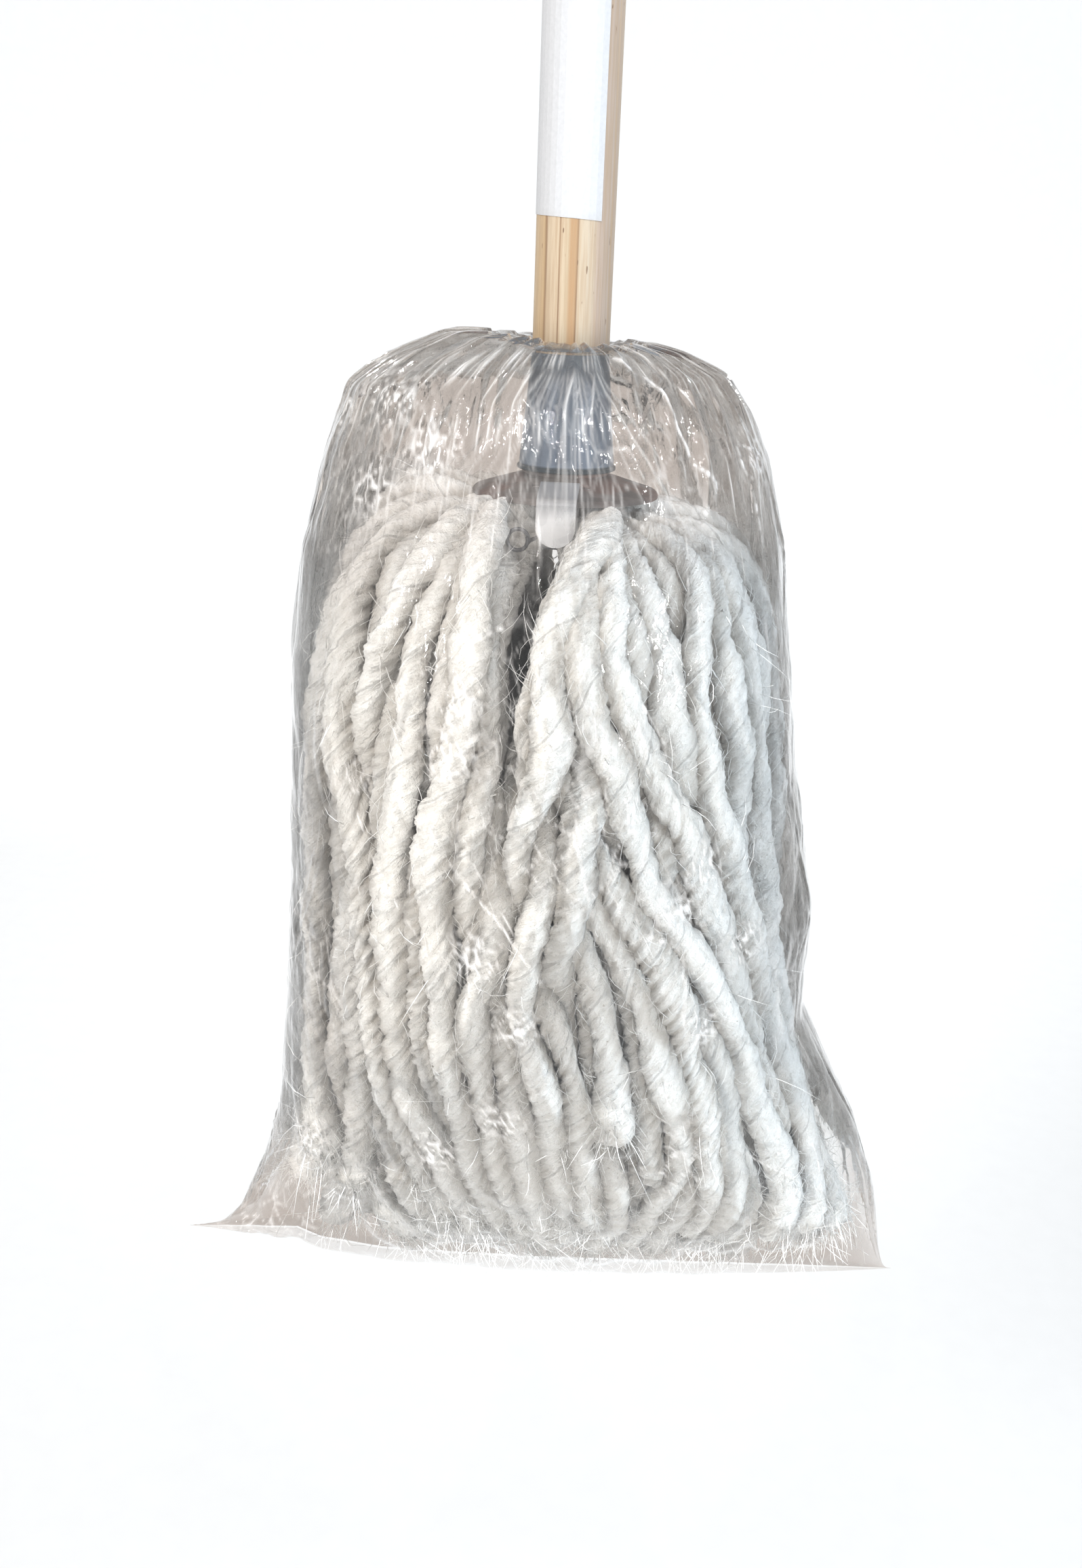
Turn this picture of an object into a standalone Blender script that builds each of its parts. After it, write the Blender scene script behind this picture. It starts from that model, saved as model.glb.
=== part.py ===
"""String mop in its clear sleeve bag: a turned wooden handle, a galvanised socket and plate, a bent clamp strap
and cotton yarn in twelve bundles. Metres, +Z up, the handle on the Z axis and the bag's lowest point at Z = 0."""

import math

import bmesh
import bpy
import numpy as np
from mathutils import Vector

# Driving dimensions
JUNCTION_Z = 0.350          # underside of the handle's shoulder, above the bag's lowest corner
GAP = 0.0003                # air between pieces that touch on the real mop
ROUND_STEPS = 40            # sides of the turned pieces

HANDLE_LENGTH = 1.155       # shoulder to top end
HANDLE_RADIUS = 0.0125
HANDLE_END_ROUND = 0.0035
SPIGOT_RADIUS = 0.0113
SPIGOT_TIP_RADIUS = 0.0107
SPIGOT_LENGTH = 0.0285

LABEL_LOW = 0.039           # above the shoulder
LABEL_HEIGHT = 0.100
LABEL_TURN = math.radians(200)
LABEL_RIGHT_EDGE = math.radians(-52)
LABEL_SKEW = math.tan(math.radians(3.5))
LABEL_THICKNESS = 0.00015
LABEL_GAP = 0.00012

FILM = 0.0004               # bag wall, thicker than real film so that it is a solid
SHEET = 0.0008              # socket and plate steel
SOCKET_TOP_RADIUS = 0.0125
SOCKET_BASE_RADIUS = 0.0158
SOCKET_LENGTH = 0.038
SOCKET_BEAD = 0.0006

HEAD_TURN = math.radians(-5)  # the pressed head sits slightly turned on the handle
COLLAR_RADIUS = 0.0142
COLLAR_TOP = -0.0300        # depths below the junction from here on
COLLAR_FOOT = -0.0392
PLATE_RADIUS = 0.031
PLATE_RIM = -0.0445
PLATE_LIP = 0.0016
SLOT_WIDTH = 0.019
SLOT_RADIAL = (0.0172, 0.0201)

STRAP_WIDTH = 0.0126
STRAP_THICKNESS = 0.0012
STRAP_LEG_RADIUS = 0.0186
STRAP_FLOOR = -0.0616
STRAP_BEND = 0.0022
TONGUE_RADIUS = 0.0336
TONGUE_END = -0.0585

RIVET_HEIGHT = -0.0336
RIVET_ANGLES = {"socket_rivet_left": math.radians(120), "socket_rivet_right": math.radians(60)}
RIVET_SHANK = 0.0011
RIVET_HOLE = 0.0014
RIVET_HEAD = 0.0022
RIVET_HEAD_HEIGHT = 0.0010

WIRE_RADIUS = 0.00065
EYE_CENTRE = (-0.0116, -0.0372, -0.0560)
EYE_RADIUS = 0.0033
WIRE_TAIL = ((-0.0082, -0.0290, -0.0572), (-0.0075, -0.0225, -0.0578), (-0.0073, -0.0186, -0.0580),
             (-0.0060, -0.0166, -0.0580), (-0.0035, -0.0158, -0.0580))

BUNDLES = 12
CLEFT = math.radians(26)    # half the opening that the strap's legs leave between the yarn's two sides
BUNDLE_GAP = 0.0005
# Yarn skirt, down from its root: half width in X, half depth in Y, height, and how far the cleft has closed
YARN_TOP = ((0.007, 0.007, -0.0480, 0), (0.018, 0.018, -0.0480, 0), (0.032, 0.032, -0.0482, 0),
            (0.046, 0.044, -0.0430, 0.05), (0.063, 0.058, -0.0490, 0.25), (0.076, 0.069, -0.0660, 0.5),
            (0.082, 0.074, -0.0950, 0.8), (0.084, 0.076, -0.150, 1), (0.086, 0.074, -0.220, 1),
            (0.096, 0.062, -0.275, 1), (0.108, 0.035, -0.318, 1))
YARN_UNDER = ((0.007, 0.007, -0.0600), (0.018, 0.018, -0.0600), (0.030, 0.030, -0.0620),
              (0.040, 0.038, -0.0680), (0.048, 0.044, -0.0780), (0.050, 0.045, -0.0950),
              (0.048, 0.043, -0.120), (0.044, 0.040, -0.165), (0.040, 0.034, -0.225),
              (0.036, 0.022, -0.280), (0.032, 0.010, -0.320))
YARN_TILT = 0.014           # the yarn reaches lower on its +X side

# Bag, down from its neck: half width, half depth, height
BAG_SECTIONS = ((0.0119, 0.0119, -0.0005), (0.0150, 0.0150, -0.0005), (0.030, 0.027, 0.0020),
                (0.050, 0.044, -0.0030), (0.068, 0.060, -0.0160), (0.080, 0.071, -0.0360),
                (0.087, 0.078, -0.0620), (0.090, 0.082, -0.100), (0.091, 0.083, -0.160),
                (0.094, 0.080, -0.220), (0.106, 0.071, -0.275), (0.121, 0.053, -0.318),
                (0.132, 0.027, -0.341), (0.136, 0.0030, -0.3498))
BAG_SIDES = 40


def clear_scene():
    for obj in list(bpy.data.objects):
        bpy.data.objects.remove(obj, do_unlink=True)


def new_collection(name):
    collection = bpy.data.collections.new(name)
    bpy.context.scene.collection.children.link(collection)
    return collection


def new_material(name, colour, roughness, metallic=0.0, alpha=1.0):
    material = bpy.data.materials.new(name)
    material.use_nodes = True
    shader = material.node_tree.nodes["Principled BSDF"]
    shader.inputs["Base Color"].default_value = (*colour, 1.0)
    shader.inputs["Roughness"].default_value = roughness
    shader.inputs["Metallic"].default_value = metallic
    shader.inputs["Alpha"].default_value = alpha
    return material


def add_object(name, mesh, collection, material, parent=None):
    obj = bpy.data.objects.new(name, mesh)
    collection.objects.link(obj)
    if material:
        mesh.materials.append(material)
    obj.parent = parent
    return obj


def mesh_of(name, points, faces):
    """A mesh with outward normals from its points and faces."""
    mesh = bpy.data.meshes.new(name)
    mesh.from_pydata([tuple(p) for p in points], [], faces)
    shape = bmesh.new()
    shape.from_mesh(mesh)
    bmesh.ops.recalc_face_normals(shape, faces=shape.faces)
    shape.to_mesh(mesh)
    shape.free()
    mesh.shade_smooth()
    return mesh


def turned(name, profile, collection, material, parent=None, closed=False, steps=ROUND_STEPS):
    """A profile of (radius, height), down its outer side from the top, turned round Z."""
    mesh = bpy.data.meshes.new(name)
    edges = [(i, i + 1) for i in range(len(profile) - 1)]
    if closed:
        edges.append((len(profile) - 1, 0))
    mesh.from_pydata([(r, 0, z) for r, z in profile], edges, [])
    obj = add_object(name, mesh, collection, material, parent)
    screw = obj.modifiers.new("turn", "SCREW")
    screw.steps = screw.render_steps = steps
    screw.use_merge_vertices = True
    screw.merge_threshold = 0.00001
    screw.use_smooth_shade = True
    return obj


def cut(obj, cutter):
    boolean = obj.modifiers.new("cut " + cutter.name, "BOOLEAN")
    boolean.operation = "DIFFERENCE"
    boolean.solver = "EXACT"
    boolean.object = cutter


def hide_cutter(obj):
    obj.hide_render = True
    obj.display_type = "WIRE"
    return obj


def rounded_path(corners, radius, steps=5):
    """Straight runs between corners, joined by arcs of this radius."""
    corners = [Vector(c) for c in corners]
    path = [corners[0]]
    for before, corner, after in zip(corners, corners[1:], corners[2:]):
        back = (before - corner).normalized()
        ahead = (after - corner).normalized()
        half = back.angle(ahead) / 2
        trim = radius / math.tan(half)
        centre = corner + (back + ahead).normalized() * radius / math.sin(half)
        start = (corner + back * trim - centre).normalized()
        end = (corner + ahead * trim - centre).normalized()
        path += [centre + radius * start.slerp(end, i / steps) for i in range(steps + 1)]
    return path + [corners[-1]]


def build_handle(collection, wood):
    top = HANDLE_LENGTH
    flat = HANDLE_RADIUS - HANDLE_END_ROUND
    profile = [(0, top)]
    for i in range(6):
        angle = math.radians(18 * i)
        profile.append((flat + HANDLE_END_ROUND * math.sin(angle),
                        top - HANDLE_END_ROUND * (1 - math.cos(angle))))
    profile += [(HANDLE_RADIUS, 0.0004), (HANDLE_RADIUS - 0.0004, 0), (SPIGOT_RADIUS, 0),
                (SPIGOT_TIP_RADIUS, 0.0015 - SPIGOT_LENGTH), (SPIGOT_TIP_RADIUS - 0.0015, -SPIGOT_LENGTH),
                (0, -SPIGOT_LENGTH)]
    handle = turned("handle", profile, collection, wood)
    handle.location.z = JUNCTION_Z
    return handle


def build_label(collection, paper, parent):
    """A blank paper sticker bent round the handle, its lower edge slightly out of square."""
    columns = 20
    shape = bmesh.new()
    bmesh.ops.create_grid(shape, x_segments=columns, y_segments=1, size=0.5)
    radius = HANDLE_RADIUS + LABEL_GAP + LABEL_THICKNESS / 2
    for vert in shape.verts:
        turn = LABEL_TURN * (vert.co.x + 0.5)
        angle = LABEL_RIGHT_EDGE - turn
        height = LABEL_LOW + LABEL_HEIGHT * (vert.co.y + 0.5) + radius * turn * LABEL_SKEW
        vert.co = (radius * math.cos(angle), radius * math.sin(angle), height)
    mesh = bpy.data.meshes.new("handle_label")
    shape.to_mesh(mesh)
    shape.free()
    mesh.shade_smooth()
    label = add_object("handle_label", mesh, collection, paper, parent)
    solidify = label.modifiers.new("thickness", "SOLIDIFY")
    solidify.thickness = LABEL_THICKNESS
    solidify.offset = 0
    return label


def build_socket(collection, steel, parent):
    top = -(GAP + FILM + GAP)
    base = -SOCKET_LENGTH
    bead = SOCKET_BASE_RADIUS + SOCKET_BEAD
    profile = [(SOCKET_TOP_RADIUS, top), (SOCKET_BASE_RADIUS, base + 0.0016), (bead, base + 0.0012),
               (bead, base + 0.0004), (SOCKET_BASE_RADIUS, base), (SOCKET_BASE_RADIUS - SHEET, base),
               (SOCKET_BASE_RADIUS - SHEET, base + 0.0016), (SOCKET_TOP_RADIUS - SHEET, top)]
    return turned("socket_ferrule", profile, collection, steel, parent, closed=True)


def plate_height(radius):
    """Height of the plate's upper face outside its collar."""
    share = (radius - COLLAR_RADIUS) / (PLATE_RADIUS - COLLAR_RADIUS)
    return COLLAR_FOOT + share * (PLATE_RIM - COLLAR_FOOT)


def build_plate(collection, cutters, steel, parent):
    """A pressed plate: a raised cup that the socket fits over, a sloping flange and a turned-down lip."""
    inner = COLLAR_RADIUS - SHEET
    profile = [(0, COLLAR_TOP), (inner, COLLAR_TOP), (COLLAR_RADIUS, COLLAR_TOP - SHEET),
               (COLLAR_RADIUS, COLLAR_FOOT), (PLATE_RADIUS - 0.0008, plate_height(PLATE_RADIUS - 0.0008)),
               (PLATE_RADIUS, PLATE_RIM - 0.0006), (PLATE_RADIUS, PLATE_RIM - PLATE_LIP),
               (PLATE_RADIUS - SHEET, PLATE_RIM - PLATE_LIP), (PLATE_RADIUS - SHEET, PLATE_RIM - SHEET - 0.0003),
               (inner, COLLAR_FOOT - SHEET), (inner, COLLAR_TOP - 2 * SHEET),
               (inner - SHEET, COLLAR_TOP - SHEET), (0, COLLAR_TOP - SHEET)]
    plate = turned("top_plate", profile, collection, steel, parent)
    radial = SLOT_RADIAL[1] - SLOT_RADIAL[0]
    for side, direction in (("front", -1), ("back", 1)):
        shape = bmesh.new()
        bmesh.ops.create_cube(shape, size=1)
        bmesh.ops.scale(shape, vec=(SLOT_WIDTH, radial, 0.02), verts=shape.verts)
        centre = (0, direction * (SLOT_RADIAL[0] + radial / 2), plate_height(SLOT_RADIAL[0]))
        bmesh.ops.translate(shape, vec=centre, verts=shape.verts)
        mesh = bpy.data.meshes.new("slot_cutter_" + side)
        shape.to_mesh(mesh)
        shape.free()
        cut(plate, hide_cutter(add_object(mesh.name, mesh, cutters, None, parent)))
    return plate


def build_strap(collection, steel, parent):
    """A flat strip bent under the yarn, up through both slots and down over the rim in round-ended tongues."""
    lift = GAP + STRAP_THICKNESS / 2 + 0.0002
    outer_bend = plate_height(TONGUE_RADIUS) + lift
    half = [(0, 0, STRAP_FLOOR), (0, -STRAP_LEG_RADIUS, STRAP_FLOOR),
            (0, -STRAP_LEG_RADIUS, plate_height(STRAP_LEG_RADIUS) + lift),
            (0, -TONGUE_RADIUS, outer_bend), (0, -TONGUE_RADIUS, TONGUE_END)]
    front = rounded_path(half, STRAP_BEND)
    tip = front.pop()
    run = STRAP_WIDTH / 2
    for degrees in range(0, 84, 12):
        front.append(tip + Vector((0, 0, run * (1 - math.sin(math.radians(degrees))))))
    front.append(tip + Vector((0, 0, 0.00004)))
    path = [Vector((0, -p.y, p.z)) for p in reversed(front[1:])] + front
    points = []
    for p in path:
        reach = p.z - TONGUE_END if abs(p.y) > TONGUE_RADIUS - 1e-5 else run
        inset = max(0.0, run - reach)
        half_width = math.sqrt(max(run * run - inset * inset, 0))
        points += [(x * half_width, p.y, p.z) for x in (-1, -0.33, 0.33, 1)]
    faces = []
    for i in range(len(path) - 1):
        for j in range(3):
            a = 4 * i + j
            faces.append((a, a + 1, a + 5, a + 4))
    strap = add_object("clamp_strap", mesh_of("clamp_strap", points, faces), collection, steel, parent)
    solidify = strap.modifiers.new("thickness", "SOLIDIFY")
    solidify.thickness = STRAP_THICKNESS
    solidify.offset = 0
    return strap


def build_rivets(collection, cutters, steel, parent, pierced):
    """Two rivets through the socket wall and the plate's collar, behind the handle."""
    share = (RIVET_HEAD - RIVET_HEIGHT) / SOCKET_LENGTH
    wall = SOCKET_TOP_RADIUS + share * (SOCKET_BASE_RADIUS - SOCKET_TOP_RADIUS)
    inner_head = 0.75 * RIVET_HEAD
    inside = math.sqrt((COLLAR_RADIUS - SHEET) ** 2 - inner_head ** 2) - GAP
    head = wall + GAP
    profile = [(0, head + RIVET_HEAD_HEIGHT), (0.6 * RIVET_HEAD, head + 0.85 * RIVET_HEAD_HEIGHT),
               (0.9 * RIVET_HEAD, head + 0.5 * RIVET_HEAD_HEIGHT), (RIVET_HEAD, head),
               (RIVET_SHANK, head), (RIVET_SHANK, inside), (inner_head, inside),
               (inner_head, inside - 0.0007), (0, inside - 0.0007)]
    hole = [(0, wall + 0.003), (RIVET_HOLE, wall + 0.003), (RIVET_HOLE, inside - 0.002), (0, inside - 0.002)]
    for name, angle in RIVET_ANGLES.items():
        cutter = hide_cutter(turned(name + "_hole", hole, cutters, None, parent, steps=16))
        for obj in (turned(name, profile, collection, steel, parent, steps=16), cutter):
            obj.location.z = RIVET_HEIGHT
            obj.rotation_euler = (0, math.radians(90), angle)
        for obj in pierced:
            cut(obj, cutter)


def build_tie_wire(collection, steel, parent):
    """The yarn's tie wire: hooked behind the strap's front leg, its eye standing out beside the tongue."""
    eye = []
    turns = 22
    for i in range(turns + 1):
        angle = math.radians(380 - 400 * i / turns)
        eye.append((EYE_CENTRE[0] + EYE_RADIUS * math.cos(angle), EYE_CENTRE[1] + 0.0022 * i / turns,
                    EYE_CENTRE[2] + EYE_RADIUS * math.sin(angle)))
    route = eye + list(WIRE_TAIL)
    curve = bpy.data.curves.new("yarn_tie_wire", "CURVE")
    curve.dimensions = "3D"
    spline = curve.splines.new("POLY")
    spline.points.add(len(route) - 1)
    for point, place in zip(spline.points, route):
        point.co = (*place, 1)
    curve.bevel_depth = WIRE_RADIUS
    curve.bevel_resolution = 2
    curve.use_fill_caps = True
    curve.materials.append(steel)
    wire = bpy.data.objects.new("yarn_tie_wire", curve)
    collection.objects.link(wire)
    wire.parent = parent
    return wire


def bundle_angles(index, closing):
    """Both edges of a bundle's sector: six bundles each side of the cleft, which closes further down."""
    side = 0 if index < BUNDLES // 2 else math.pi
    place = index % (BUNDLES // 2) - BUNDLES / 4
    spacing = (math.pi - 2 * CLEFT * (1 - closing)) / (BUNDLES / 2)
    return side + place * spacing, side + (place + 1) * spacing


def build_bundle(index, collection, cotton, parent):
    """One yarn bundle: a sector of the skirt, lofted from its root under the plate to its hanging ends."""
    arc = 4
    points = []
    for (top_a, top_b, top_z, closing), (under_a, under_b, under_z) in zip(YARN_TOP, YARN_UNDER):
        start, end = bundle_angles(index, closing)
        for a, b, z, order in ((top_a, top_b, top_z, 1), (under_a, under_b, under_z, -1)):
            trim = BUNDLE_GAP / 2 / min(a, b)
            for angle in np.linspace(start + trim, end - trim, arc)[::order]:
                tilt = YARN_TILT * a / YARN_TOP[-1][0] * math.cos(angle) * (z / YARN_TOP[-1][2]) ** 3
                points.append((a * math.cos(angle), b * math.sin(angle), z - tilt))
    ring = 2 * arc
    stations = len(YARN_TOP)
    faces = [tuple(range(ring)), tuple(range(ring * (stations - 1), ring * stations))]
    for s in range(stations - 1):
        here, below = s * ring, (s + 1) * ring
        for i in range(ring):
            j = (i + 1) % ring
            if i == arc - 1:
                faces += [(here + i, here + j, below + j), (here + i, below + j, below + i)]
            elif i == ring - 1:
                faces += [(here + i, here + j, below + i), (here + j, below + j, below + i)]
            else:
                faces.append((here + i, here + j, below + j, below + i))
    name = f"yarn_bundle_{index + 1:02d}"
    return add_object(name, mesh_of(name, points, faces), collection, cotton, parent)


def build_bag(collection, film):
    """A flat-sealed sleeve gathered to the handle's shoulder, its neck pinched on top of the socket."""
    points = []
    for a, b, z in BAG_SECTIONS:
        for i in range(BAG_SIDES):
            angle = 2 * math.pi * i / BAG_SIDES
            points.append((a * math.cos(angle), b * math.sin(angle), z))
    rings = len(BAG_SECTIONS)
    faces = []
    for s in range(rings - 1):
        for i in range(BAG_SIDES):
            j = (i + 1) % BAG_SIDES
            faces.append((s * BAG_SIDES + i, s * BAG_SIDES + j, (s + 1) * BAG_SIDES + j, (s + 1) * BAG_SIDES + i))
    last = (rings - 1) * BAG_SIDES
    for i in range(BAG_SIDES // 2):
        near = last + i
        far = last + (BAG_SIDES - i) % BAG_SIDES
        if i == 0:
            faces.append((near, near + 1, far + BAG_SIDES - 1))
        elif i == BAG_SIDES // 2 - 1:
            faces.append((near, near + 1, far))
        else:
            faces.append((near, near + 1, far - 1, far))
    bag = add_object("bag_film", mesh_of("bag_film", points, faces), collection, film)
    bag.location.z = JUNCTION_Z
    solidify = bag.modifiers.new("thickness", "SOLIDIFY")
    solidify.thickness = FILM
    solidify.offset = 0
    return bag


def main():
    clear_scene()
    parts = new_collection("string_mop")
    cutters = new_collection("string_mop_cutters")
    wood = new_material("pine", (0.80, 0.64, 0.42), 0.55)
    paper = new_material("label_paper", (0.92, 0.92, 0.90), 0.6)
    socket_steel = new_material("galvanised_steel", (0.40, 0.45, 0.50), 0.38, 0.9)
    plate_steel = new_material("plate_steel", (0.34, 0.30, 0.28), 0.45, 0.8)
    strap_steel = new_material("strap_steel", (0.66, 0.66, 0.66), 0.35, 0.9)
    cotton = new_material("cotton_yarn", (0.86, 0.85, 0.82), 0.95)
    film = new_material("clear_film", (0.82, 0.80, 0.78), 0.15, 0.0, 0.3)

    handle = build_handle(parts, wood)
    build_label(parts, paper, handle)
    head = bpy.data.objects.new("head_frame", None)
    parts.objects.link(head)
    head.location.z = JUNCTION_Z
    head.rotation_euler.z = HEAD_TURN
    socket = build_socket(parts, socket_steel, head)
    plate = build_plate(parts, cutters, plate_steel, head)
    build_strap(parts, strap_steel, head)
    build_rivets(parts, cutters, strap_steel, head, (socket, plate))
    build_tie_wire(parts, strap_steel, head)
    for index in range(BUNDLES):
        build_bundle(index, parts, cotton, head)
    build_bag(parts, film)


main()
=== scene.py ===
import math

import bpy
import numpy as np
from mathutils import Matrix, Vector, kdtree, noise


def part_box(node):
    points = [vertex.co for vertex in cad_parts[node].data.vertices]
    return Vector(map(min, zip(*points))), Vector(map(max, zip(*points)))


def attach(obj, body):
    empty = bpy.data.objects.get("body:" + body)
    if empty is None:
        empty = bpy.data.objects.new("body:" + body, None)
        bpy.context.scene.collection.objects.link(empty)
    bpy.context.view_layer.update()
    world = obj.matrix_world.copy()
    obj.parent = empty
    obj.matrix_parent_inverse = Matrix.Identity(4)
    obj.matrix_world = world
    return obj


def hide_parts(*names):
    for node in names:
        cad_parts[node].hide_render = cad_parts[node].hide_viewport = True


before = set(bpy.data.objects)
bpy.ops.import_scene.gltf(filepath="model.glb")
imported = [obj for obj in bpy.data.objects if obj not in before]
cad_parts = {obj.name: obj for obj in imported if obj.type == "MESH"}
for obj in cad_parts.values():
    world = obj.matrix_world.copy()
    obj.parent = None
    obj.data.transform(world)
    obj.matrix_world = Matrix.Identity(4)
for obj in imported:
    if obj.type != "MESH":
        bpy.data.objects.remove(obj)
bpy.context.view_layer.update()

# Heights and depths below are metres from the junction, where the handle's shoulder meets the socket.
FILM_SEAT = 0.001
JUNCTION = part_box("socket_ferrule")[1][2] + FILM_SEAT
TONGUE_BRIGHT = 0.0125         # the length of tongue that hangs in the plain bright steel; painted shade greys the strap above it
SEED = 11

# Camera: in front, a little above the junction, and tipped down and sideways as the mop was seen
CAMERA_PLACE = (-0.0045, -0.5, 0.0275)
CAMERA_PITCH = math.radians(19.5)
CAMERA_ROLL = math.radians(2.1)
FRAME_HEIGHT = 2312
FOCAL_PIXELS = 2186

# Yarn: centrelines of the outermost and innermost strands, down from their roots under the plate.
# Half width, half depth, shift along X, height, and how far the cleft between the two sides has closed.
OUTER_SKIRT = ((0.008, 0.006, 0.0, -0.0530, 0), (0.022, 0.018, 0.0, -0.0525, 0),
               (0.034, 0.034, 0.0, -0.0520, 0), (0.047, 0.045, 0.0, -0.0480, 0.05),
               (0.063, 0.056, -0.001, -0.0540, 0.25), (0.074, 0.064, -0.003, -0.0700, 0.5),
               (0.080, 0.069, -0.004, -0.0980, 0.8), (0.081, 0.071, -0.004, -0.150, 1),
               (0.083, 0.070, -0.002, -0.205, 1), (0.092, 0.060, 0.006, -0.265, 1),
               (0.106, 0.040, 0.014, -0.318, 1), (0.110, 0.028, 0.016, -0.334, 1))
INNER_SKIRT = ((0.008, 0.006, 0.0, -0.0575, 0), (0.022, 0.018, 0.0, -0.0580, 0),
               (0.032, 0.030, 0.0, -0.0600, 0), (0.040, 0.037, 0.0, -0.0670, 0.05),
               (0.047, 0.043, -0.001, -0.0790, 0.25), (0.050, 0.045, -0.002, -0.0960, 0.5),
               (0.048, 0.043, -0.002, -0.122, 0.8), (0.046, 0.040, -0.002, -0.165, 1),
               (0.046, 0.034, 0.0, -0.215, 1), (0.050, 0.026, 0.004, -0.268, 1),
               (0.056, 0.014, 0.010, -0.316, 1), (0.058, 0.010, 0.012, -0.328, 1))
CLEFT = math.radians(26)
CLEFT_OPEN = (1, 1, 1, 0.75, 0.3, 0, 0, 0, 0, 0, 0, 0)    # how much of the cleft a front strand keeps clear
# Strands that hang in front: 0 right or 1 left of the cleft, X at each of these heights, how deep in
# the skirt they hang above and below the middle, and length
FRONT_HEIGHTS = (-0.060, -0.080, -0.120, -0.170, -0.220, -0.270, -0.310)
FRONT_STRANDS = (
    (1, (-0.075, -0.078, -0.078, -0.080, -0.081, -0.077, -0.074), 0.10, 0.00, 0.290),
    (1, (-0.072, -0.075, -0.073, -0.069, -0.071, -0.063, -0.051), 0.35, 0.30, 0.318),
    (1, (-0.067, -0.071, -0.067, -0.051, -0.053, -0.046, -0.043), 0.00, 0.05, 0.318),
    (1, (-0.039, -0.062, -0.057, -0.060, -0.071, -0.068, -0.065), 0.00, 0.25, 0.305),
    (1, (-0.056, -0.057, -0.063, -0.065, -0.059, -0.056, -0.048), 0.30, 0.30, 0.318),
    (1, (-0.035, -0.046, -0.049, -0.045, -0.048, -0.039, -0.034), 0.15, 0.10, 0.318),
    (1, (-0.027, -0.035, -0.039, -0.034, -0.037, -0.025, -0.014), 0.25, 0.25, 0.325),
    (1, (-0.028, -0.027, -0.030, -0.044, -0.041, -0.029, -0.018), 0.00, 0.00, 0.325),
    (1, (-0.027, -0.028, -0.025, -0.024, -0.013, -0.007, -0.014), 0.35, 0.10, 0.318),
    (1, (-0.031, -0.031, -0.022, -0.019, -0.027, -0.018, -0.001), 0.60, 0.05, 0.322),
    (0, (-0.001, -0.012, -0.016, -0.003, 0.009, 0.013, 0.014), 0.00, 0.15, 0.320),
    (0, (0.008, 0.004, 0.006, -0.004, 0.027, 0.030, 0.030), 0.55, 0.00, 0.238),
    (0, (0.003, -0.006, -0.006, 0.029, 0.056, 0.070, 0.076), 0.45, 0.00, 0.330),
    (0, (0.006, -0.001, 0.017, 0.041, 0.062, 0.084, 0.109), 0.05, 0.05, 0.335),
    (0, (0.015, 0.010, 0.028, 0.053, 0.069, 0.091, 0.102), 0.00, 0.10, 0.330),
    (0, (0.010, 0.007, 0.005, 0.012, 0.044, 0.055, 0.063), 0.55, 0.10, 0.328),
    (0, (0.010, 0.008, 0.002, -0.012, -0.023, -0.012, -0.001), 0.55, 0.00, 0.322),
    (0, (0.014, 0.010, -0.004, -0.008, -0.003, 0.003, 0.014), 0.55, 0.20, 0.318),
    (0, (0.020, 0.014, 0.008, 0.008, 0.019, 0.025, 0.023), 0.50, 0.15, 0.320),
    (0, (0.018, 0.015, 0.022, 0.037, 0.052, 0.070, 0.080), 0.30, 0.25, 0.325),
    (0, (0.024, 0.027, 0.035, 0.047, 0.044, 0.042, 0.043), 0.25, 0.20, 0.318),
    (0, (0.034, 0.035, 0.045, 0.058, 0.051, 0.052, 0.071), 0.35, 0.20, 0.322),
    (0, (0.047, 0.042, 0.041, 0.066, 0.077, 0.101, 0.110), 0.00, 0.00, 0.328),
    (0, (0.050, 0.047, 0.058, 0.054, 0.056, 0.054, 0.063), 0.10, 0.30, 0.322),
    (0, (0.053, 0.058, 0.066, 0.073, 0.084, 0.107, 0.117), 0.05, 0.05, 0.325),
    (0, (0.057, 0.061, 0.068, 0.071, 0.081, 0.110, 0.123), 0.30, 0.30, 0.322))
# Other strands on each side: how many, and how deep in the skirt they hang
LAYERS = ((11, 0.04), (12, 0.45), (12, 0.85))
BUNDLES = 12
WIRE_EYE = (-0.0148, -0.0361, -0.0560)  # middle of the tie wire's eye, which the strands pass on the left
EYE_ROOM = 0.0097              # how far from it their centrelines keep
STRAND_DIAMETER = 0.0112
STRAND_LENGTH = 0.318
STRAND_POINTS = 46
PINNED_POINTS = 5              # at each root, in the clamp
FINE_SPACING = 0.0016          # between the rings of an outer strand
CONTACT_REACH = 0.0150         # how near another strand must be to shade this one
MOST_CORDS = 40                # the most strands that get pieces of their own; the most that the tools take
STRAND_MOST = 0.0072          # the thickest a lump may be, from the centre
PLIES = 5
PLY_PITCH = 0.031
FIBRES_EACH = 420              # loose fibres on each outer strand
END_FIBRES = 70                # and at the end of every strand
LOWEST_FIBRE = -0.340

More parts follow.
